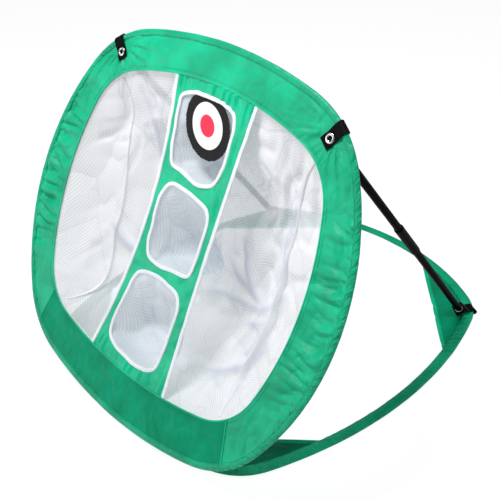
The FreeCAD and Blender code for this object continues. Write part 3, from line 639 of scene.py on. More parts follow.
MATERIALS = {
    "green": cloth_material("green_cloth", (0.001, 0.40, 0.205), (0.002, 0.51, 0.27), crinkle=0.0020),
    # painted shade: a darker copy of the green cloth for the low base parts (rear gussets, hinge web, front
    # gusset hems), standing in for the shade that falls on them
    "green_painted_shade": cloth_material("green_cloth_painted_shade", (0.0005, 0.235, 0.115), (0.001, 0.30, 0.155),
                                 gloss=0.12, crinkle=0.0014),
    "green_border": cloth_material("green_cloth_border", (0.001, 0.34, 0.17), (0.002, 0.48, 0.25),
                                   roughness=0.50, gloss=0.26, crinkle=0.0024, gathered=0.017),
    # painted shade: a darker copy of the border cloth for the bottom panel, which is darker than the top
    # because the light falls from above
    "green_painted_low_shade": cloth_material("green_cloth_painted_low_shade", (0.0005, 0.245, 0.12), (0.001, 0.32, 0.165), gloss=0.06,
                                crinkle=0.0018, gathered=0.012),
    "green_sleeve": cloth_material("green_cloth_sleeve", (0.001, 0.30, 0.15), (0.002, 0.41, 0.21),
                                   roughness=0.42, gloss=0.22, crinkle=0.0016, gathered=0.2),
    # painted shadow: the darkest copy of the green cloth, for the front gussets that lie in the front panel's
    # shadow
    "green_painted_panel_shadow": cloth_material("green_cloth_painted_panel_shadow", (0.0004, 0.10, 0.048), (0.001, 0.155, 0.078),
                                  gloss=0.10, crinkle=0.0045),
    # partly painted shade: green thread, drawn darker than the cloth to stand in for the shadow along the
    # seams
    "green_stitch_seam_shade": cloth_material("green_stitch_seam_shade", (0.003, 0.26, 0.12), (0.006, 0.33, 0.16), 0.0004,
                                   0.00003, 0.5, 0.2),
    "binding": cloth_material("white_tape", (0.72, 0.76, 0.82), (0.82, 0.86, 0.91), 0.0008, 0.00008, 0.6,
                              0.2),
    "seam": cloth_material("white_seam", (0.78, 0.80, 0.85), (0.86, 0.88, 0.92), 0.0008, 0.00008, 0.6, 0.2),
    "webbing": cloth_material("black_webbing", (0.0015, 0.0015, 0.0017), (0.004, 0.004, 0.0045), 0.0016,
                              0.0002, 0.6, 0.06),
    "net": mesh_material("net_mesh", (0.85, 0.86, 0.90), 0.0030, 0.54, 0.022),
    "pouch": mesh_material("pouch_mesh", (0.76, 0.81, 0.86), 0.0030, 0.58, 0.016),
    "target": ring_material(),
    "steel": speckled("eyelet_steel", (0.50, 0.50, 0.52), (0.66, 0.66, 0.68), 0.28, 90.0, 0.00002, 1.0, 0.08),
    "wire": speckled("spring_steel", (0.36, 0.36, 0.38), (0.5, 0.5, 0.52), 0.35, 120.0, 0.00002, 1.0),
    "pole": speckled("pole_tube", (0.001, 0.001, 0.001), (0.002, 0.002, 0.0022), 0.45, 60.0, 0.00002,
                     Specular_IOR_Level=0.015),
    "tip": speckled("pole_tip", (0.002, 0.002, 0.002), (0.005, 0.005, 0.0055), 0.55, 80.0, 0.00003,
                    Specular_IOR_Level=0.02),
    "ferrule": speckled("pole_ferrule", (0.002, 0.002, 0.002), (0.006, 0.006, 0.0066), 0.45, 70.0, 0.00002,
                        Specular_IOR_Level=0.02),
    "elastic": speckled("elastic_cord", (0.01, 0.01, 0.011), (0.03, 0.03, 0.032), 0.7, 200.0, 0.00005),
}


def dress(obj, material):
    obj.data.materials.clear()
    obj.data.materials.append(MATERIALS[material])
    return obj


# ------------------------------------------------------------------ sleeves round the hoops

SLEEVE_STEP = 0.003
# half of the sleeve's section from the border inwards: shares of the band's width, and heights over the wire
SLEEVE_WIDTHS = np.array([1.0, 0.88, 0.76, 0.62, 0.46, 0.28, 0.1])
SLEEVE_HEIGHTS = [0.0006, 0.0010, 0.0017, 0.0022, 0.0024, 0.0021, 0.0014, 0.0005]


def sleeve(name, outline, band, place, node_names, body, seed, lowest, crimp):
    """Cloth folded round the hoop wire and sewn to itself along the seam, gathered by the stitching."""
    p, n = outline.ring(SLEEVE_STEP)
    count = len(p)
    run = np.arange(count) * SLEEVE_STEP
    front = list(zip([*(band * SLEEVE_WIDTHS), 0.0004], SLEEVE_HEIGHTS))
    profile = front + [(w, -h) for w, h in reversed(front)]
    gather = wave_along(run / 0.0075, seed) + 0.6 * wave_along(run / 0.0036, seed + 9)
    slow = wave_along(run / 0.030, seed + 3)
    low_corner, high_corner = (np.array(corner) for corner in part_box(crimp))
    away = np.linalg.norm(place(np.column_stack([p, 0 * run])) - (low_corner + high_corner) / 2, axis=1)
    swell = 1 + 0.35 * np.exp(-(away / 0.027) ** 6)
    sides = 0.25 + 0.75 * fade(np.abs(n[:, 0]), 0.35, 0.8)
    verts = np.empty((count, len(profile), 3))
    for j, (w, h) in enumerate(profile):
        near_seam = fade(w, band * 0.2, band * 0.8)
        slanted = np.maximum(np.interp(run + w * 0.9, run, gather, period=run[-1]), -0.25)
        puckers = slanted * sides * (0.0003 + 0.0008 * near_seam) + slow * 0.0003
        verts[:, j, :2] = p - n * (w + slow * 0.0004 * (1 - near_seam))[:, None]
        verts[:, j, 2] = np.maximum(h * swell + math.copysign(1, h) * puckers, lowest)
    verts = place(verts)
    uv = np.zeros((count, len(profile), 2))
    uv[..., 0] = run[:, None]
    uv[..., 1] = np.arange(len(profile))[None] * 0.0024 + 0.2 * (1 - sides)[:, None]
    obj = piece(name, verts, grid_faces(count, len(profile), wrap=True), uv, 1, 0.0005)
    dress(obj, "green_sleeve")
    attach(obj, body)
    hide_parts(*node_names)
    return obj


def on_base_sleeve(points):
    """The same as on_base, counted from the middle of the sleeve's height."""
    return on_base(points + np.array([0.0, 0.0, BASE_LIFT]))


SLEEVE_NODES = ["front_sleeve_" + edge for edge in ("top", "right", "bottom", "left")]
BASE_NODES = ["base_sleeve_" + edge for edge in ("rear", "right", "front", "left")]
# the front sleeve is round on both sides, so nothing holds it from below; the base sleeve lies on the ground
front_sleeve = sleeve("front_sleeve_cloth", FRONT, BAND_FRONT, on_front, SLEEVE_NODES, "front_frame", 1.7,
                      -1.0, "front_wire_crimp")
base_sleeve = sleeve("base_sleeve_cloth", BASE, BAND_BASE, on_base_sleeve, BASE_NODES, "base_frame", 5.1,
                     -0.0035, "base_wire_crimp")


def seam_round(name, outline, inset, height, place, body):
    """Stitches all round an outline, on the side that faces up or towards the golfer."""
    p, _ = outline.ring(0.004, inset)
    path = place(np.column_stack([p, np.full(len(p), height)]))
    up = place(np.column_stack([p, np.full(len(p), height + 0.01)])) - path
    obj = stitches(name, path, up)
    # partly painted shade: the stitches are darker than the cloth, for the seam's shadow line
    dress(obj, "green_stitch_seam_shade")
    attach(obj, body)
    return obj


front_seam = seam_round("front_sleeve_stitches", FRONT, BAND_FRONT * 0.88, 0.0015, on_front, "front_frame")
base_seam = seam_round("base_sleeve_stitches", BASE, BAND_BASE * 0.9, 0.0014, on_base_sleeve, "base_frame")


# ------------------------------------------------------------------ border panels

ACROSS = 20
EDGE_STEP = 0.0027
TAB_MIDDLE = np.array([0.196, 0.217])


def tab_wrinkles(grid):
    """Wrinkles that fan out from each webbing tab."""
    total = np.zeros(grid.shape[:2])
    for side in (-1, 1):
        away = grid[..., :2] - TAB_MIDDLE * np.array([side, 1.0])
        far = np.linalg.norm(away, axis=-1)
        angle = np.arctan2(away[..., 1], away[..., 0] * side)
        fan = np.stack([angle * 3.4, far * 6, 0 * far], -1)
        rays = np.minimum(np.abs(ripples(fan, 1.0, 50.0 + side)) * 2.4, 0.8) - 0.3
        total += rays * np.exp(-(far / 0.06) ** 2) * fade(far, 0.010, 0.026)
    return total


def border_ring():
    """All four panels as one ring of cloth, puckered by the sleeve's seam at the sides, else smoother."""
    outer, inner, marks = [], [], []
    for edge in EDGES:
        count = round(arcs_length(FRONT.arcs(edge), 0.03) / EDGE_STEP) + 1
        marks.append(sum(len(q) for q in outer))
        outer.append(FRONT.edge_points(edge, count, BAND_FRONT - 0.0034)[0][:-1])
        inner.append(OPENING.edge_points(edge, count, 0.0)[0][:-1])
    outer, inner = np.concatenate(outer), np.concatenate(inner)
    count = len(outer)
    w = np.linspace(0, 1, ACROSS)
    grid = np.zeros((count, ACROSS, 3))
    grid[..., :2] = outer[:, None] * (1 - w)[None, :, None] + inner[:, None] * w[None, :, None]
    grid[..., 2] = 0.0004
    outward = unit_rows(outer - inner)
    sides = fade(np.abs(outward[:, 0]), 0.55, 0.92)[:, None]
    low = fade(-outward[:, 1], 0.3, 0.9)[:, None]
    swell = np.sin(math.pi * np.clip(w, 0.02, 0.98)) ** 0.6
    wobble = grid.copy()
    wobble[..., 1] += 0.010 * ripples(grid, 24.0, 6.0)
    slanted = grid.copy()
    slanted[..., 0] = (grid[..., 1] + grid[..., 0]) * 0.35
    slanted[..., 1] = grid[..., 1] - grid[..., 0]
    folds = 0.0115 * sides * creases(wobble, 11.0, 52.0, 3.0) * (1.2 - 0.6 * w)[None]
    folds += 0.0036 * sides * creases(wobble, 26.0, 120.0, 13.0) * (1.1 - 0.9 * w)[None]
    folds += (1 - sides) * (0.0024 - 0.0010 * low) * ripples(grid * np.array([1.0, 1.6, 1.0]), 20.0, 9.0)
    folds += (1 - sides) * 0.0009 * creases(grid, 60.0, 44.0, 21.0)
    near_seam = fade(-w, -0.45, -0.05)[None] * (0.3 + 0.7 * sides)
    folds += 0.0024 * near_seam * creases(slanted, 150.0, 150.0, 27.0)
    folds += 0.0085 * tab_wrinkles(grid)
    flat = grid.copy()
    grid[..., 2] += folds * swell[None]
    pairs, firm = grid_links(count, ACROSS, True, 0.05)
    lengths = rest_lengths(grid, pairs, 1.003)
    fixed = np.zeros((count, ACROSS), bool)
    fixed[:, 0] = fixed[:, -1] = True
    steps = 8
    made = relax(grid, pairs, firm, lengths, fixed, steps=steps, rounds=8, drag=0.8)
    made[fixed] = flat[fixed]
    return made, marks + [count]


def border_panels(made, marks):
    """The ring of cloth cut at the corners' middles into its four panels."""
    count = len(made)
    for k, edge in enumerate(EDGES):
        rows = [r % count for r in range(marks[k], marks[k + 1] + 1)]
        grid = made[rows]
        uv = np.zeros((*grid.shape[:2], 2))
        uv[..., 0] = np.arange(len(rows))[:, None] * EDGE_STEP
        outward = unit_rows(grid[:, 0, :2] - grid[:, -1, :2])
        past_gathers = 0.014 * (1 - fade(np.abs(outward[:, :1]), 0.35, 0.8))
        uv[..., 1] = np.arange(ACROSS)[None] * EDGE_STEP + past_gathers
        obj = piece("border_cloth_" + edge, on_front(grid), grid_faces(len(rows), ACROSS), uv, 1, CLOTH)
        # painted shade: the bottom panel gets the darker copy of the border cloth
        dress(obj, "green_painted_low_shade" if edge == "bottom" else "green_border")
        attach(obj, "front_frame")
        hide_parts("border_" + edge)
        length = arcs_length(FRONT.arcs(edge), 0.035)


def mitre_seams(made, marks):
    """The slanting seams between the panels: full below, almost flat above."""
    for k in range(4):
        low = k >= 2
        lift, thick, colour = (0.0007, 0.0013, "green") if low else (0.0002, 0.0008, "green_border")
        world = on_front(softened(made[marks[k]]) + np.array([0.0, 0.0, lift]))
        up = np.repeat(FORWARD[None], len(world), 0)
        across = np.cross(tangents_of(world, False), up)
        seam = sweep("mitre_seam_%d" % (k + 1), world, across, up, oval(0.0024, thick, 8), closed=False)
        dress(seam, colour)
        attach(seam, "front_frame")


border, corners = border_ring()
border_panels(border, corners)
mitre_seams(border, corners)


def opening_edge():
    """The border's folded inner edge, its stitching, and the net's narrow hem behind it."""
    for name, inset, height, width, thick, colour, slot_name in (
            ("opening_fold", 0.0004, 0.0004, 0.0024, 0.0015, "green", "green_fabric"),
            ("opening_hem", 0.0002, -0.0021, 0.0020, 0.0008, "seam", "net_mesh")):
        p, n = OPENING.ring(0.004, inset)
        path = on_front(np.column_stack([p, np.full(len(p), height)]))
        across = unit_rows(on_front(np.column_stack([p + n * 0.01, np.full(len(p), height)])) - path)
        up = np.repeat(FORWARD[None], len(path), 0)
        obj = sweep(name, path, across, up, oval(width, thick, 10))
        dress(obj, colour)
        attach(obj, "front_frame")
    seam_round("opening_stitches", OPENING, -0.0042, 0.0010, on_front, "front_frame")


opening_edge()


# ------------------------------------------------------------------ centre strip

# height and half width of the strip at its top, waist and bottom
STRIP_KNOTS = ((0.2362, 0.082), (0.030, 0.0665), (-0.2208, 0.088))


def strip_half(v):
    """Half of the strip's width at a height, by the parabola through its knots."""
    total = np.zeros_like(np.asarray(v, float))
    for i, (vi, wi) in enumerate(STRIP_KNOTS):
        term = np.full_like(total, wi)
        for j, (vj, _) in enumerate(STRIP_KNOTS):
            if i != j:
                term = term * (v - vj) / (vi - vj)
        total = total + term
    return total


def bowed(v):
    """The strip's surface behind the border's plane."""
    return -BOW * (1 - np.clip((np.asarray(v, float) - RISE) / OPEN_HALF, -1, 1) ** 2)


# the outside of each window's binding, clockwise from its upper left, in millimetres
WINDOWS = {
    "top": [(-59, 188), (-36, 198), (-5, 200), (22, 199), (43, 191), (50, 172), (50, 148), (49, 118),
            (38, 91), (8, 81), (-20, 88), (-45, 91), (-55, 109), (-60, 142), (-62, 170)],
    "middle": [(-38, 71), (-5, 72), (20, 68), (40, 62), (50, 45), (51, 12), (51, -12), (45, -36), (16, -41),
               (-11, -45), (-37, -41), (-48, -23), (-52, 8), (-53, 46)],
    "bottom": [(-48, -67), (-16, -55), (15, -56), (39, -62), (50, -80), (52, -112), (53, -145), (48, -174),
               (18, -185), (-10, -184), (-36, -180), (-54, -171), (-61, -152), (-58, -112)],
}
WINDOWS = {name: np.array(knots) / 1000 for name, knots in WINDOWS.items()}
WINDOW_BAND = 0.0056


def rounded(knots, inset=0.0, step=0.0022):
    """A soft closed outline through its knots as evenly spaced points, clockwise, moved in by an inset."""
    c = np.asarray(knots, float)
    middle = c.mean(0)
    dense = []
    for k in range(len(c)):
        before, a, b, after = c[k - 1], c[k], c[(k + 1) % len(c)], c[(k + 2) % len(c)]
        dense.extend(between(before, a, b, after, t) for t in np.linspace(0, 1, 10, endpoint=False))
    ring = np.array(dense + dense[:1])
    run = running_length(ring)
    count = int(run[-1] / step)
    p = at_lengths(ring, run, np.arange(count) * run[-1] / count)
    t = tangents_of(p)
    for _ in range(4):
        t = unit_rows(np.roll(t, 1, 0) + 2 * t + np.roll(t, -1, 0))
    normal = np.stack([-t[:, 1], t[:, 0]], 1)
    outward = np.where(((p - middle) * normal).sum(1)[:, None] > 0, normal, -normal)
    return p - outward * inset, outward


def inside(points, ring):
    """Which points lie inside a closed ring."""
    x, y = points[..., 0], points[..., 1]
    result = np.zeros(x.shape, bool)
    for (x1, y1), (x2, y2) in zip(ring, np.roll(ring, -1, 0)):
        crosses = (y1 > y) != (y2 > y)
        if crosses.any():
            cut = (x2 - x1) * (y - y1) / (y2 - y1 + 1e-15) + x1
            result ^= crosses & (x < cut)
    return result


def centre_strip():
    """One bowed sheet with three window holes, pulled between the bindings and the border."""
    rows, columns = 125, 49
    t = np.linspace(0, 1, rows)[:, None]
    s = np.linspace(-1, 1, columns)[None]
    v = np.zeros((rows, columns))
    u = np.zeros((rows, columns))
    for _ in range(4):
        u = s * (strip_half(v) - 0.002)
        v = OPENING.edge_height("bottom", u) * (1 - t) + OPENING.edge_height("top", u) * t
    grid = np.stack([u, v, bowed(v)], -1)
    present = np.ones((rows, columns), bool)
    near = np.zeros((rows, columns), bool)
    for knots in WINDOWS.values():
        present &= ~inside(grid[..., :2], rounded(knots, WINDOW_BAND * 0.62)[0])
        near |= inside(grid[..., :2], rounded(knots, 0.0008)[0])
    fixed = near.copy()
    fixed[0] = fixed[-1] = True
    fixed[:, :2] = fixed[:, -2:] = True
    pairs, firm = grid_links(rows, columns, False, 0.2, present)
    ends = np.exp(-(np.minimum(t, 1 - t) / 0.075) ** 2)
    free = np.clip(1 - np.abs(s), 0, 0.12) / 0.12
    folds = 0.0048 * ends * creases(grid, 95.0, 5.0, 11.0) + 0.0022 * creases(grid, 34.0, 14.0, 5.0)
    folds += 0.0008 * ripples(grid, 90.0, 15.0)
    start = grid.copy()
    start[..., 2] += folds * free
    start[fixed] = grid[fixed]
    lengths = rest_lengths(start, pairs, 1.002)
    steps = 10
    made = relax(start, pairs, firm, lengths, fixed, steps=steps, rounds=8, drag=0.8)
    faces = grid_faces(rows, columns, present=present)
    verts, faces, uv = used_only(on_front(made), faces, made[..., :2].copy())
    obj = piece("centre_strip_cloth", verts, faces, uv, 1, CLOTH)
    dress(obj, "green")
    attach(obj, "front_frame")
    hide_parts("centre_strip")
    return obj


strip = centre_strip()


TAPE_THICK = 0.0022


def tape(name, points, outward, width, node_name, seed, closed=True):
    """Binding tape folded over an edge: a flat soft tube with small ripples and a row of stitches."""
    count = len(points)
    n = bowed(points[:, 1])
    wave = wave_along(np.arange(count) * 0.11, seed)
    fine = wave_along(np.arange(count) * 0.55, seed + 4)
    if closed:
        edge = np.minimum(np.arange(count), np.arange(count)[::-1]) / 12
        wave *= np.clip(edge, 0, 1)
    p = points + outward * (wave * 0.0009)[:, None]
    path = on_front(np.column_stack([p, n + 0.0004 + 0.0003 * wave]))
    outside = on_front(np.column_stack([p + outward * 0.01, n]))
    across = unit_rows(outside - on_front(np.column_stack([p, n])))
    up = np.repeat(FORWARD[None], count, 0)
    fullness = np.stack([1 + 0.07 * fine + 0.06 * wave, 1 + 0.22 * fine], 1)
    section = oval(width, TAPE_THICK, 14, 0.7)[None] * fullness[:, None]
    obj = sweep(name, path, across, up, section, closed=closed, subdivide=1)
    dress(obj, "binding")
    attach(obj, "front_frame")
    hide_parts(node_name)
    top = path + up * (TAPE_THICK / 2 - 0.0001)
    side = -1 if closed else 1
    row = stitches(name + "_stitches", top + across * side * width * -0.30, up, closed=closed)
    dress(row, "seam")
    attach(row, "front_frame")
    return obj


def strip_bindings():
    made = []
    for side, hand in ((-1, "left"), (1, "right")):
        v = np.linspace(OPENING.edge_height("bottom", 0.085), OPENING.edge_height("top", 0.08), 190)
        points = np.column_stack([side * (strip_half(v) - 0.0028), v])
        t = tangents_of(points, False)
        outward = np.column_stack([t[:, 1], -t[:, 0]]) * side
        made.append(tape("strip_tape_" + hand, points, outward, 0.0062, "strip_binding_" + hand, 3.0 + side,
                         closed=False))
    return made


def window_bindings():
    made = []
    for k, (name, knots) in enumerate(WINDOWS.items()):
        points, outward = rounded(knots, WINDOW_BAND / 2)
        made.append(tape("window_tape_" + name, points, outward, WINDOW_BAND, "window_binding_" + name,
                         20.0 + k))
    return made


tapes = strip_bindings() + window_bindings()


# ------------------------------------------------------------------ mesh pouches and catch net

GRAVITY = np.array([0.0, -math.cos(LEAN), -math.sin(LEAN)])


def coons(outline, rows, columns, inset):
    """A grid that fills an outline between its four edges; rows run across and columns run up."""
    top, right, bottom, left = (outline.edge_points(edge, columns if k % 2 == 0 else rows, inset)[0]
                                for k, edge in enumerate(EDGES))
    right, bottom = right[::-1], bottom[::-1]
    s = np.linspace(0, 1, columns)[None, :, None]
    t = np.linspace(0, 1, rows)[:, None, None]
    flat = (1 - t) * bottom[None] + t * top[None] + (1 - s) * left[:, None] + s * right[:, None]
    flat -= (1 - t) * ((1 - s) * bottom[0] + s * bottom[-1]) + t * ((1 - s) * top[0] + s * top[-1])
    return flat


def net_depth(flat):
    """How deep the bag hangs behind a point of the opening: in to the side seams, then to its back."""
    p, _ = OPENING.ring(0.003)
    middle = np.array([0.0, 0.014])
    ring_angle = np.arctan2(p[:, 1] - middle[1], p[:, 0])
    order = np.argsort(ring_angle)
    reach = np.linalg.norm(p - middle, axis=1)[order]
    away = flat - middle
    angle = np.arctan2(away[..., 1], away[..., 0])
    edge = np.interp(angle, ring_angle[order], reach, period=2 * math.pi)
    share = np.linalg.norm(away, axis=-1) / edge
    below = 0.19 - flat[..., 1]
    seam = 0.022 + np.clip(below, 0, None) * 0.139
    back = 0.068 + np.clip(below - 0.07, 0, None) * 0.174
    wall = seam * (1 - (1 - np.clip((1 - share) / 0.28, 0, 1)) ** 1.6)
    deep = seam + (back - seam) * np.clip((0.72 - share) / 0.24, 0, 1)
    return np.where(share > 0.72, wall, deep)


NET_ROWS, NET_COLUMNS = 96, 108
NET_EDGE = -0.0022
# the net's pinched folds, each by a few places in the opening's plane, in millimetres
FOLDS = [[(5, -71), (48, -56), (86, -53), (122, -46), (150, -24), (168, 8)],
         [(34, 0), (65, -22), (96, -38), (122, -46)],
         [(64, 60), (72, 1), (90, -32), (122, -46)],
         [(66, -158), (92, -150), (120, -135), (160, -98), (176, -60)],
         [(100, -72), (130, -62), (160, -44)],
         [(158, 135), (156, 70), (164, 10), (158, -60)],
         [(-174, -32), (-154, -56), (-107, -79)],
         [(-150, 180), (-124, 133), (-116, 50), (-128, -20)]]


def folded(flat):
    """How near each place is to the net's pinched folds, from 0 to 1, and the same for a narrower band."""
    wide, narrow = np.zeros(flat.shape[:2]), np.zeros(flat.shape[:2])
    for knots in FOLDS:
        line = smooth_path(np.array(knots) / 1000, 50)
        far = np.linalg.norm(flat[..., None, :] - line, axis=-1)
        taper = np.sin(math.pi * (0.08 + 0.84 * far.argmin(-1) / 49))
        wide = np.maximum(wide, taper * np.clip(1 - far.min(-1) / 0.010, 0, 1))
        narrow = np.maximum(narrow, taper * np.exp(-(far.min(-1) / 0.0042) ** 2))
    return wide, narrow


def catch_net():
    """Mesh bag sewn behind the border: it hangs slack and folds under its own weight."""
    flat = coons(OPENING, NET_ROWS, NET_COLUMNS, -0.003)
    grid = np.dstack([flat, NET_EDGE - net_depth(flat)])
    from_ends = [np.minimum(np.arange(count), np.arange(count)[::-1]) for count in (NET_ROWS, NET_COLUMNS)]
    near = np.minimum.outer(*from_ends)
    inner = fade(near, 0, 9)
    wobble = grid.copy()
    wobble[..., 0] += 0.03 * ripples(grid, 9.0, 33.0) + 0.15 * (grid[..., 1] - 0.1) * np.sign(grid[..., 0])
    amount = 0.0045 + 0.0085 * fade(grid[..., 0], -0.04, 0.10)
    folds = creases(wobble, 21.0, 4.5, 31.0) + 0.55 * creases(wobble, 30.0, 24.0, 37.0)
    lines = np.exp(-(ripples(wobble * np.array([13.0, 3.0, 1.0]), 1.0, 45.0) / 0.035) ** 2)
    grid[..., 2] += inner * (amount * folds - 0.0045 * lines + 0.0075 * folded(flat)[0])
    pairs, firm = grid_links(NET_ROWS, NET_COLUMNS, False, 0.06)
    lengths = rest_lengths(grid, pairs, 1.003)

    def hold(q):
        q[:, 2] = np.clip(q[:, 2], -0.118, NET_EDGE)
        return q

    steps = 10
    made = relax(grid, pairs, firm, lengths, near == 0, push=GRAVITY * 0.00008, steps=steps, rounds=8,
                 drag=0.8, hold=hold)
    return made, flat


NET, NET_FLAT = catch_net()


def on_net(points):
    """Places on the hung net over points of the opening's plane."""
    flat = NET_FLAT.reshape(-1, 2)
    made = NET.reshape(-1, 3)
    out = []
    for p in np.asarray(points, float):
        far = ((flat - p) ** 2).sum(1)
        near = np.argpartition(far, 5)[:5]
        share = 1 / (far[near] + 4e-6)
        out.append((made[near] * share[:, None]).sum(0) / share.sum())
    return np.array(out)


def planar_uv(made, turn_by=0.0):
    """The cloth's own coordinates: flat ones, so that the mesh's holes keep their size across folds."""
    uv = np.empty((*made.shape[:-1], 2))
    c, s = math.cos(turn_by), math.sin(turn_by)
    u, v = made[..., 0], made[..., 1] - 0.7 * made[..., 2]
    uv[..., 0] = c * u - s * v
    uv[..., 1] = s * u + c * v
    return uv


def net_line(points):
    """An even, smooth line on the net over points of the opening's plane."""
    line = on_net(smooth_path(points, 90))
    run = running_length(line)
    line = softened(at_lengths(line, run, np.linspace(0, run[-1], int(run[-1] / 0.005))))
    return line + np.array([0.0, 0.0, 0.0014])


SIDE_SEAM = ((0.184, 0.176), (0.172, 0.150), (0.168, 0.110), (0.166, 0.050), (0.166, -0.020),
             (0.163, -0.075), (0.155, -0.115), (0.158, -0.145), (0.172, -0.168))


def net_pieces():
    """The net itself and the seam tape down each of its sides."""
    obj = piece("catch_net_mesh", on_front(NET), grid_faces(NET_ROWS, NET_COLUMNS), planar_uv(NET, 0.3), 1)
    # the narrow band along the pinched folds, where the mesh is thicker and painted a darker blue-grey shade
    doubled = obj.data.attributes.new("doubled", "FLOAT", "POINT")
    doubled.data.foreach_set("value", folded(NET_FLAT)[1].ravel())
    dress(obj, "net")
    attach(obj, "front_frame")
    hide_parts("catch_net")
    extras = []
    for side, hand in ((1, "right"), (-1, "left")):
        path = on_front(net_line([(side * x, y) for x, y in SIDE_SEAM]))
        t = tangents_of(path, False)
        inward = np.array([-side * 0.8, 0, 0]) + 0.6 * FORWARD
        across = unit_rows(inward - t * (t @ inward)[:, None])
        at = np.linspace(0, 1, len(path))
        wide = 0.0032 + 0.0095 * fade(at, 0.25, 0.65) * (1 - fade(at, 0.86, 1))
        section = oval(1.0, 0.0009, 10)[None] * np.stack([wide, np.ones(len(path))], 1)[:, None]
        extra = sweep("net_side_seam_" + hand, path, across, np.cross(t, across), section, closed=False,
                      subdivide=1)
        extras.append(extra)
        dress(extra, "seam")
        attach(extra, "front_frame")
    return [obj, *extras]


net_parts = net_pieces()


POUCH_DEPTH = {"top": 0.034, "middle": 0.066, "bottom": 0.052}
POUCH_STEP = 0.0042
BEHIND_STRIP = 0.0016


def pouch(name, knots, seed):
    """Mesh pouch sewn round a window: it bellies backwards, most of all low down."""
    edge, _ = rounded(knots, WINDOW_BAND * 0.55)
    high, low = edge[:, 1].max(), edge[:, 1].min()
    u = np.arange(edge[:, 0].min() - POUCH_STEP, edge[:, 0].max() + 2 * POUCH_STEP, POUCH_STEP)
    v = np.arange(low - POUCH_STEP, high + 2 * POUCH_STEP, POUCH_STEP)
    grid = np.zeros((len(v), len(u), 3))
    grid[..., 0], grid[..., 1] = u[None], v[:, None]
    within = inside(grid[..., :2], edge)
    far = np.linalg.norm(grid[..., None, :2] - edge, axis=-1)
    closest = edge[far.argmin(-1)]
    margin = np.where(within, far.min(-1), 0.0)
    grid[..., :2] = np.where(within[..., None], grid[..., :2], closest)
    present = within.copy()
    present[1:] |= within[:-1]
    present[:-1] |= within[1:]
    present[:, 1:] |= present[:, :-1].copy()
    present[:, :-1] |= present[:, 1:].copy()
    drop = np.clip((high - grid[..., 1]) / (high - low), 0, 1)
    belly = 0.20 + 0.80 * fade(drop, 0.05, 0.72)
    wobble = grid.copy()
    wobble[..., 0] += 0.014 * ripples(grid, 18.0, seed + 5)
    folds = creases(wobble, 40.0, 9.0, seed) + 0.5 * creases(wobble, 52.0, 44.0, seed + 1)
    deep = POUCH_DEPTH[name] * belly * fade(margin, -0.008, 0.030) * np.sqrt(np.clip(margin / 0.018, 0, 1))
    deep = np.minimum(deep, np.maximum(net_depth(grid[..., :2]) - 0.026, 0.003))
    front = bowed(grid[..., 1]) - BEHIND_STRIP
    grid[..., 2] = np.minimum(front - deep + 0.0075 * fade(margin, 0, 0.012) * folds, front)
    grid[..., 1] -= 0.20 * deep
    grid[..., 0] += 0.55 * deep * (grid[..., 0] / 0.05 + 0.6) / 1.6
    pairs, firm = grid_links(len(v), len(u), False, 0.06, present)
    lengths = rest_lengths(grid, pairs, 1.003)

    def hold(points):
        points[:, 2] = np.minimum(points[:, 2], bowed(points[:, 1]) - BEHIND_STRIP)
        return points

    steps = 8
    made = relax(grid, pairs, firm, lengths, ~within, push=GRAVITY * 0.00005, steps=steps, rounds=8,
                 drag=0.8, hold=hold)
    faces = grid_faces(len(v), len(u), present=present)
    verts, faces, uv = used_only(on_front(made), faces, planar_uv(made, -0.2))
    obj = piece("window_mesh_" + name, verts, faces, uv, 1)
    dress(obj, "pouch")
    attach(obj, "front_frame")
    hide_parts("window_pouch_" + name)
    return obj


pouches = [pouch(name, knots, 40.0 + 5 * k) for k, (name, knots) in enumerate(WINDOWS.items())]
PLANE_POINT = tuple(on_front(np.array([0.0, 0.0, 0.0])))
for soft in pouches + net_parts:
    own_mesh(soft)


def target():
    """Printed cloth in the top window, sewn under the binding at its top and right."""
    ring, _ = rounded(WINDOWS["top"], WINDOW_BAND * 0.55)
    centre = np.array([0.0, 0.1615])
    reach = 0.0435
    size = 71
    line = np.linspace(-reach, reach, size)
    u, v = np.meshgrid(1.2 * line + centre[0], line + centre[1], indexing="ij")
    print_at = np.stack([u - centre[0] + 0.22 * (v - centre[1]), v - centre[1]], -1)
    shape = inside(np.stack([u, v], -1), ring) & (np.linalg.norm(print_at, axis=-1) < reach)
    grid = np.stack([u, v, bowed(v) - 0.0008], -1)
    grid[..., 2] += 0.0004 * ripples(grid, 45.0, 71.0)
    faces = grid_faces(size, size, present=shape)
    verts, faces, uv = used_only(on_front(grid), faces, print_at)
    obj = piece("target_cloth", verts, faces, uv, 1, CLOTH)
    dress(obj, "target")
    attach(obj, "front_frame")
    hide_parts("target_patch")
    return obj


target()


# ------------------------------------------------------------------ webbing tabs and eyelets

WEBBING_THICK = 0.0011


def lathe(name, profile, at, axis, body, nodes, material, steps=40):
    """A closed profile of (radius, height) turned about an axis."""
    axis = np.asarray(axis, float)
    side = np.cross(axis, [1.0, 0.2, 0.0])
    side /= np.linalg.norm(side)
    other = np.cross(axis, side)
    verts = []
    for k in range(steps):
        a = 2 * math.pi * k / steps
        out = side * math.cos(a) + other * math.sin(a)
        verts.extend(at + out * r + axis * h for r, h in profile)
    obj = piece(name, verts, grid_faces(steps, len(profile), wrap=True, wrap_columns=True))
    dress(obj, material)
    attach(obj, body)
    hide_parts(*nodes)
    return obj


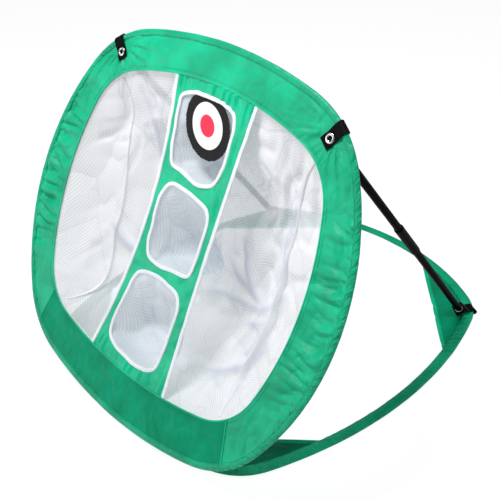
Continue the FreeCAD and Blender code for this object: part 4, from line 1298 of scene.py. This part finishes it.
def eyelet_profile(stack):
    """Rolled flange in front, flat washer behind, barrel between."""
    top, low = stack / 2, -stack / 2
    return [(0.0032, low - 0.0006), (0.0032, top + 0.0002), (0.0036, top + 0.0007), (0.0044, top + 0.0008),
            (0.0056, top + 0.00075), (0.00625, top + 0.0004), (0.00635, top), (0.0050, top),
            (0.0037, top - 0.0002), (0.0037, low + 0.0002), (0.0052, low), (0.00635, low),
            (0.0063, low - 0.0004), (0.0058, low - 0.0007), (0.0040, low - 0.0008)]


def ribbon(name, path, across, width):
    """Flat webbing along a path, with softly rounded edges."""
    up = unit_rows(np.cross(tangents_of(path, False), across))
    section = oval(1.0, WEBBING_THICK, 16, 0.35) * np.array([width, 1.0])
    obj = sweep(name, path, across, up, section, closed=False, subdivide=1)
    dress(obj, "webbing")
    return obj


def tab_corner(side, inset=0.0):
    """A front tab's place on the front panel's edge, or inset from it, and the way outward."""
    outward = np.array([math.cos(TAB_TURN), math.sin(TAB_TURN)])
    corner = FRONT.upper_at + outward * (FRONT.r["corner"] - inset)
    mirror = np.array([side, 1.0])
    return corner * mirror, outward * mirror


def front_tabs():
    """Webbing folded over the sleeve at each upper corner and held through the border by an eyelet."""
    flat, over = 0.0013, 0.0038
    front_side = [(0.0335, flat), (0.028, flat), (0.0225, flat), (0.0165, flat + 0.0002),
                  (0.0120, over - 0.0006), (0.0070, over), (0.0025, over - 0.0002), (-0.0007, 0.0020)]
    for side, hand in ((-1, "left"), (1, "right")):
        corner, outward = tab_corner(side)
        across2 = np.array([-outward[1], outward[0]])
        profile = front_side + [(-0.0014, 0.0)] + [(w, -h) for w, h in reversed(front_side)]
        line = smooth_path(profile, 44)
        path = np.column_stack([corner[None] - outward[None] * line[:, :1], line[:, 1]])
        path[:, 2] += 0.00025 * np.sin(line[:, 0] * 500)
        world = on_front(path)
        sideways = on_front(np.array([*across2, 0.0])) - on_front(np.zeros(3))
        across = np.repeat(sideways[None], len(world), 0)
        obj = ribbon("front_tab_webbing_" + hand, world, across, 0.0182)
        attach(obj, "front_frame")
        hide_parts("front_tab_" + hand)
        at = on_front(np.array([*(corner - outward * EYELET_INSET), 0.0]))
        lathe("front_eyelet_ring_" + hand, eyelet_profile(0.0036), at, FORWARD, "front_frame",
              ["front_eyelet_" + hand, "front_washer_" + hand], "steel")
        ends = [[*(corner - outward * 0.0150 + across2 * shift), 0.0033] for shift in (-0.0072, 0.0072)]
        line = on_front(np.linspace(*ends, 12))
        row = stitches("front_tab_stitches_" + hand, line, np.repeat(FORWARD[None], 12, 0), 0.0016, 0.0012,
                       0.0003, False)
        dress(row, "webbing")
        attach(row, "front_frame")


front_tabs()


def pole_axis(side):
    """A pole's foot in the rear eyelet, and its direction towards the front eyelet."""
    eyelet = on_front(np.array([*tab_corner(side, EYELET_INSET)[0], 0.0]))
    foot = FOOT_AT * np.array([side, 1, 1])
    axis = eyelet - foot
    return foot, axis / np.linalg.norm(axis)


REAR_WRAP = ((0.0115, 0.0006), (0.0040, 0.0005), (0.0002, 0.0013), (-0.0010, 0.0040), (0.0006, 0.0068),
             (0.0045, 0.0082), (0.0120, 0.0086))


def rear_tabs():
    """Webbing folded round the base sleeve, that turns up to hold the eyelet square to the pole."""
    for side, hand in ((-1, "left"), (1, "right")):
        foot, axis = pole_axis(side)
        outward = np.array([math.cos(BASE.upper_turn), math.sin(BASE.upper_turn)])
        corner2 = BASE.upper_at + outward * BASE.r["corner"]
        corner = on_base(np.array([side * corner2[0], corner2[1], 0.0]))
        inward = np.array([-side * 0.456, -0.89, 0.0])
        flat_across = np.array([side * 0.89, -0.456, 0.0])
        slope = inward - axis * (inward @ axis)
        slope /= np.linalg.norm(slope)
        end_across = np.cross(slope, axis)
        end_across *= np.sign(end_across @ flat_across)
        points = [corner + inward * w + [0, 0, h] for w, h in REAR_WRAP]
        points += [foot + slope * along for along in (-0.0080, -0.0035, 0.0035, 0.0088)]
        path = smooth_path(points, 60)
        t = np.linspace(0, 1, len(path))
        mix = fade(t, 0.58, 0.80)[:, None]
        across = unit_rows(flat_across * (1 - mix) + end_across * mix)
        obj = ribbon("rear_tab_webbing_" + hand, path, across, 0.020)
        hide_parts("rear_tab_" + hand)
        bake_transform(obj)
        lathe("rear_eyelet_ring_" + hand, eyelet_profile(0.0012), foot, axis, "pole_lower_" + hand,
              ["rear_eyelet_" + hand, "rear_washer_" + hand], "steel")


rear_tabs()


# ------------------------------------------------------------------ base corners and hinge web

GUSSET_HEMS = {"rear": ((0.0845, 0.2999), (0.2500, 0.1239)),
               "front": ((0.1000, -0.2910), (0.2490, -0.1500))}


def gusset(rear, side, seed):
    """Cloth triangle across a base corner, with a folded and stitched hem along its free edge."""
    hem = np.array(GUSSET_HEMS["rear" if rear else "front"])
    name = "gusset_%s_%s" % ("rear" if rear else "front", "left" if side < 0 else "right")
    ring, _ = BASE.ring(0.0015, BAND_BASE * 0.8)
    right = ring[ring[:, 0] > 0]
    direction = hem[1] - hem[0]
    outer = np.array([-direction[1], direction[0]])
    corner = np.array([0.2, 0.22 if rear else -0.24])
    outer = outer if outer @ (corner - hem[0]) > 0 else -outer
    outer /= np.linalg.norm(outer)
    beyond = right[((right - hem[0]) @ outer) > 0]
    order = np.argsort((beyond - hem[0]) @ direction)
    beyond = beyond[order]
    beyond = beyond[np.concatenate([[True], np.linalg.norm(np.diff(beyond, axis=0), axis=1) > 1e-6])]
    run = running_length(beyond)
    rows, columns = 56, 20
    edge = at_lengths(beyond, run, np.linspace(0, run[-1], rows))
    foot = hem[0] + direction * np.linspace(0.0, 1.0, rows)[:, None]
    foot[0], foot[-1] = edge[0], edge[-1]
    t = np.linspace(0, 1, columns)
    flat = foot[:, None] * (1 - t)[None, :, None] + edge[:, None] * t[None, :, None]
    grid = np.zeros((rows, columns, 3))
    grid[..., :2] = flat
    grid[..., 2] = 0.0038
    pairs, firm = grid_links(rows, columns, False, 0.15)
    tangent = np.zeros_like(grid)
    tangent[..., :2] = direction / np.linalg.norm(direction)
    factor = np.full((rows, columns), 1.02) + 0.03 * ripples(grid, 20.0, seed)
    lengths = longer(grid, pairs, tangent, factor)
    fixed = np.zeros((rows, columns), bool)
    fixed[:, -1] = True
    fixed[0] = fixed[-1] = True
    tug = np.sin(np.linspace(0, math.pi, rows))
    start = grid.copy()
    start[..., 2] += 0.003 * ripples(grid, 40.0, seed + 1) * tug[:, None]

    def hold(q):
        q[:, 2] = np.clip(q[:, 2], 0.0009, 0.0098)
        return q

    steps = 30
    made = relax(start, pairs, firm, lengths, fixed, push=(0, 0, -0.00004), steps=steps, rounds=10,
                 drag=0.85, hold=hold)
    made[..., 0] *= side
    obj = piece(name + "_cloth", on_base(made), grid_faces(rows, columns), made[..., :2].copy(), 1, CLOTH)
    # painted shade: the rear gussets get the darker shaded copy of the green cloth, the front ones, under the
    # panel, the darkest copy for the panel's shadow
    dress(obj, "green_painted_shade" if rear else "green_painted_panel_shadow")
    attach(obj, "base_frame")
    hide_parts(name)
    line = made[:, 0] * 0.72 + made[:, 1] * 0.28
    path = on_base(line + np.array([0, 0, 0.0001]))
    across = unit_rows(made[:, 2] - made[:, 0])
    across[0], across[-1] = across[1], across[-2]
    up = np.repeat(np.array([[0.0, 0.0, 1.0]]), rows, 0)
    band = sweep(name + "_hem", path, across, up, oval(0.0078, 0.0022, 12, 0.6), closed=False, subdivide=1)
    # painted shade: the front hems get the darker shaded copy of the green cloth
    dress(band, "green" if rear else "green_painted_shade")
    row = stitches(name + "_hem_stitches", path + across * 0.0026 + up * 0.0011, up, closed=False)
    # partly painted shade: the hem stitches are darker than the cloth, for the seam's shadow line
    dress(row, "green_stitch_seam_shade")
    for extra in (band, row):
        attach(extra, "base_frame")


for k, (rear, side) in enumerate(((True, -1), (True, 1), (False, -1), (False, 1))):
    gusset(rear, side, 90.0 + 3 * k)


def hinge_web():
    """Short cloth that joins the base sleeve to the back of the front sleeve along the ground."""
    rows = 60
    x = np.linspace(-0.112, 0.112, rows)
    low = on_base(np.column_stack([x, BASE.edge_height("bottom", x) + 0.0050, np.full(rows, 0.0070)]))
    high = on_front(np.column_stack([x, FRONT.edge_height("bottom", x) + 0.0125, np.full(rows, -0.0016)]))
    t = np.linspace(0, 1, 6)
    grid = low[:, None] * (1 - t)[None, :, None] + high[:, None] * t[None, :, None]
    grid[..., 1] += (np.sin(math.pi * t) * 0.0012)[None]
    obj = piece("hinge_web_cloth", grid, grid_faces(rows, 6), None, 1, 0.0007)
    # painted shade: the hinge web lies low under the front panel and gets the darker shaded copy of the green
    # cloth
    dress(obj, "green_painted_shade")
    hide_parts("hinge_strip")
    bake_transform(obj)
    return obj


web = hinge_web()


# ------------------------------------------------------------------ carried-over nodes

def elastic(side, hand):
    """The elastic cord inside the pole, which stretches as the pole is pulled apart."""
    low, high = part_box("shock_cord_" + hand)
    foot, axis = pole_axis(side)
    length = (high.z - low.z) / axis[2] - 0.002
    start = foot + axis * ((low.z - foot[2]) / axis[2] + 0.001)
    line = start + axis * np.linspace(0, length, 40)[:, None]
    across = unit_rows(np.repeat(np.cross(axis, [1.0, 0, 0])[None], 40, 0))
    obj = sweep("elastic_cord_" + hand, line, across, np.cross(axis, across), oval(0.003, 0.003, 10, 1.0),
                closed=False)
    dress(obj, "elastic")
    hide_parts("shock_cord_" + hand)
    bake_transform(obj)


for side, hand in ((-1, "left"), (1, "right")):
    elastic(side, hand)

CARRIED = {"front_hoop_wire": "wire", "front_wire_crimp": "wire",
           "base_hoop_wire": "wire", "base_wire_crimp": "wire"}
for hand in ("left", "right"):
    CARRIED.update({"pole_lower_" + hand: "pole", "pole_upper_" + hand: "pole",
                    "pole_ferrule_" + hand: "ferrule",
                    "pole_top_tip_" + hand: "tip", "pole_foot_tip_" + hand: "tip"})
for name, material in CARRIED.items():
    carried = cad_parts[name]
    dress(carried, material)
    carried.data.polygons.foreach_set("use_smooth", [True] * len(carried.data.polygons))
    split = carried.modifiers.new("edges", "EDGE_SPLIT")
    split.split_angle = math.radians(35)


# ------------------------------------------------------------------ floor, light and camera

def stage():
    bpy.ops.mesh.primitive_plane_add(size=14, location=(0, 0, -0.0006))
    floor = bpy.context.object
    floor.name = "floor"
    material, _, _ = shader("floor_paper", (0.22, 0.22, 0.22), 0.9, Emission_Color=(1, 1, 1, 1),
                                        Emission_Strength=0.90, Specular_IOR_Level=0.1)
    floor.data.materials.append(material)
    world = bpy.data.worlds.new("studio")
    world.use_nodes = True
    world.node_tree.nodes["Background"].inputs["Color"].default_value = (1, 1, 1, 1)
    world.node_tree.nodes["Background"].inputs["Strength"].default_value = 0.16
    bpy.context.scene.world = world


def lamp(name, place, aim, size, power):
    light = bpy.data.lights.new(name, "AREA")
    light.shape = "RECTANGLE"
    light.size, light.size_y = size
    light.energy = power
    obj = bpy.data.objects.new(name, light)
    bpy.context.scene.collection.objects.link(obj)
    obj.location = place
    obj.rotation_euler = (Vector(aim) - Vector(place)).to_track_quat("-Z", "Y").to_euler()


stage()
lamp("key_softbox", (-0.15, -0.45, 1.45), (0, -0.15, 0.2), (0.35, 0.35), 16)
lamp("front_softbox", (-1.3, -1.8, 0.7), (0, -0.1, 0.2), (0.9, 0.5), 10)
lamp("rear_softbox", (1.3, 0.9, 1.5), (0.1, 0.1, 0.1), (0.8, 0.8), 9)

camera = bpy.data.objects.new("camera", bpy.data.cameras.new("camera"))
bpy.context.scene.collection.objects.link(camera)
camera.location = (0.7189, -0.7519, 0.8276)
camera.rotation_euler = (math.radians(90 - 33.88), 0, math.radians(45.75))
camera.data.sensor_width = 36
camera.data.lens = 57.53
bpy.context.scene.camera = camera
bpy.context.scene.view_settings.view_transform = "Standard"

bpy.context.view_layer.update()
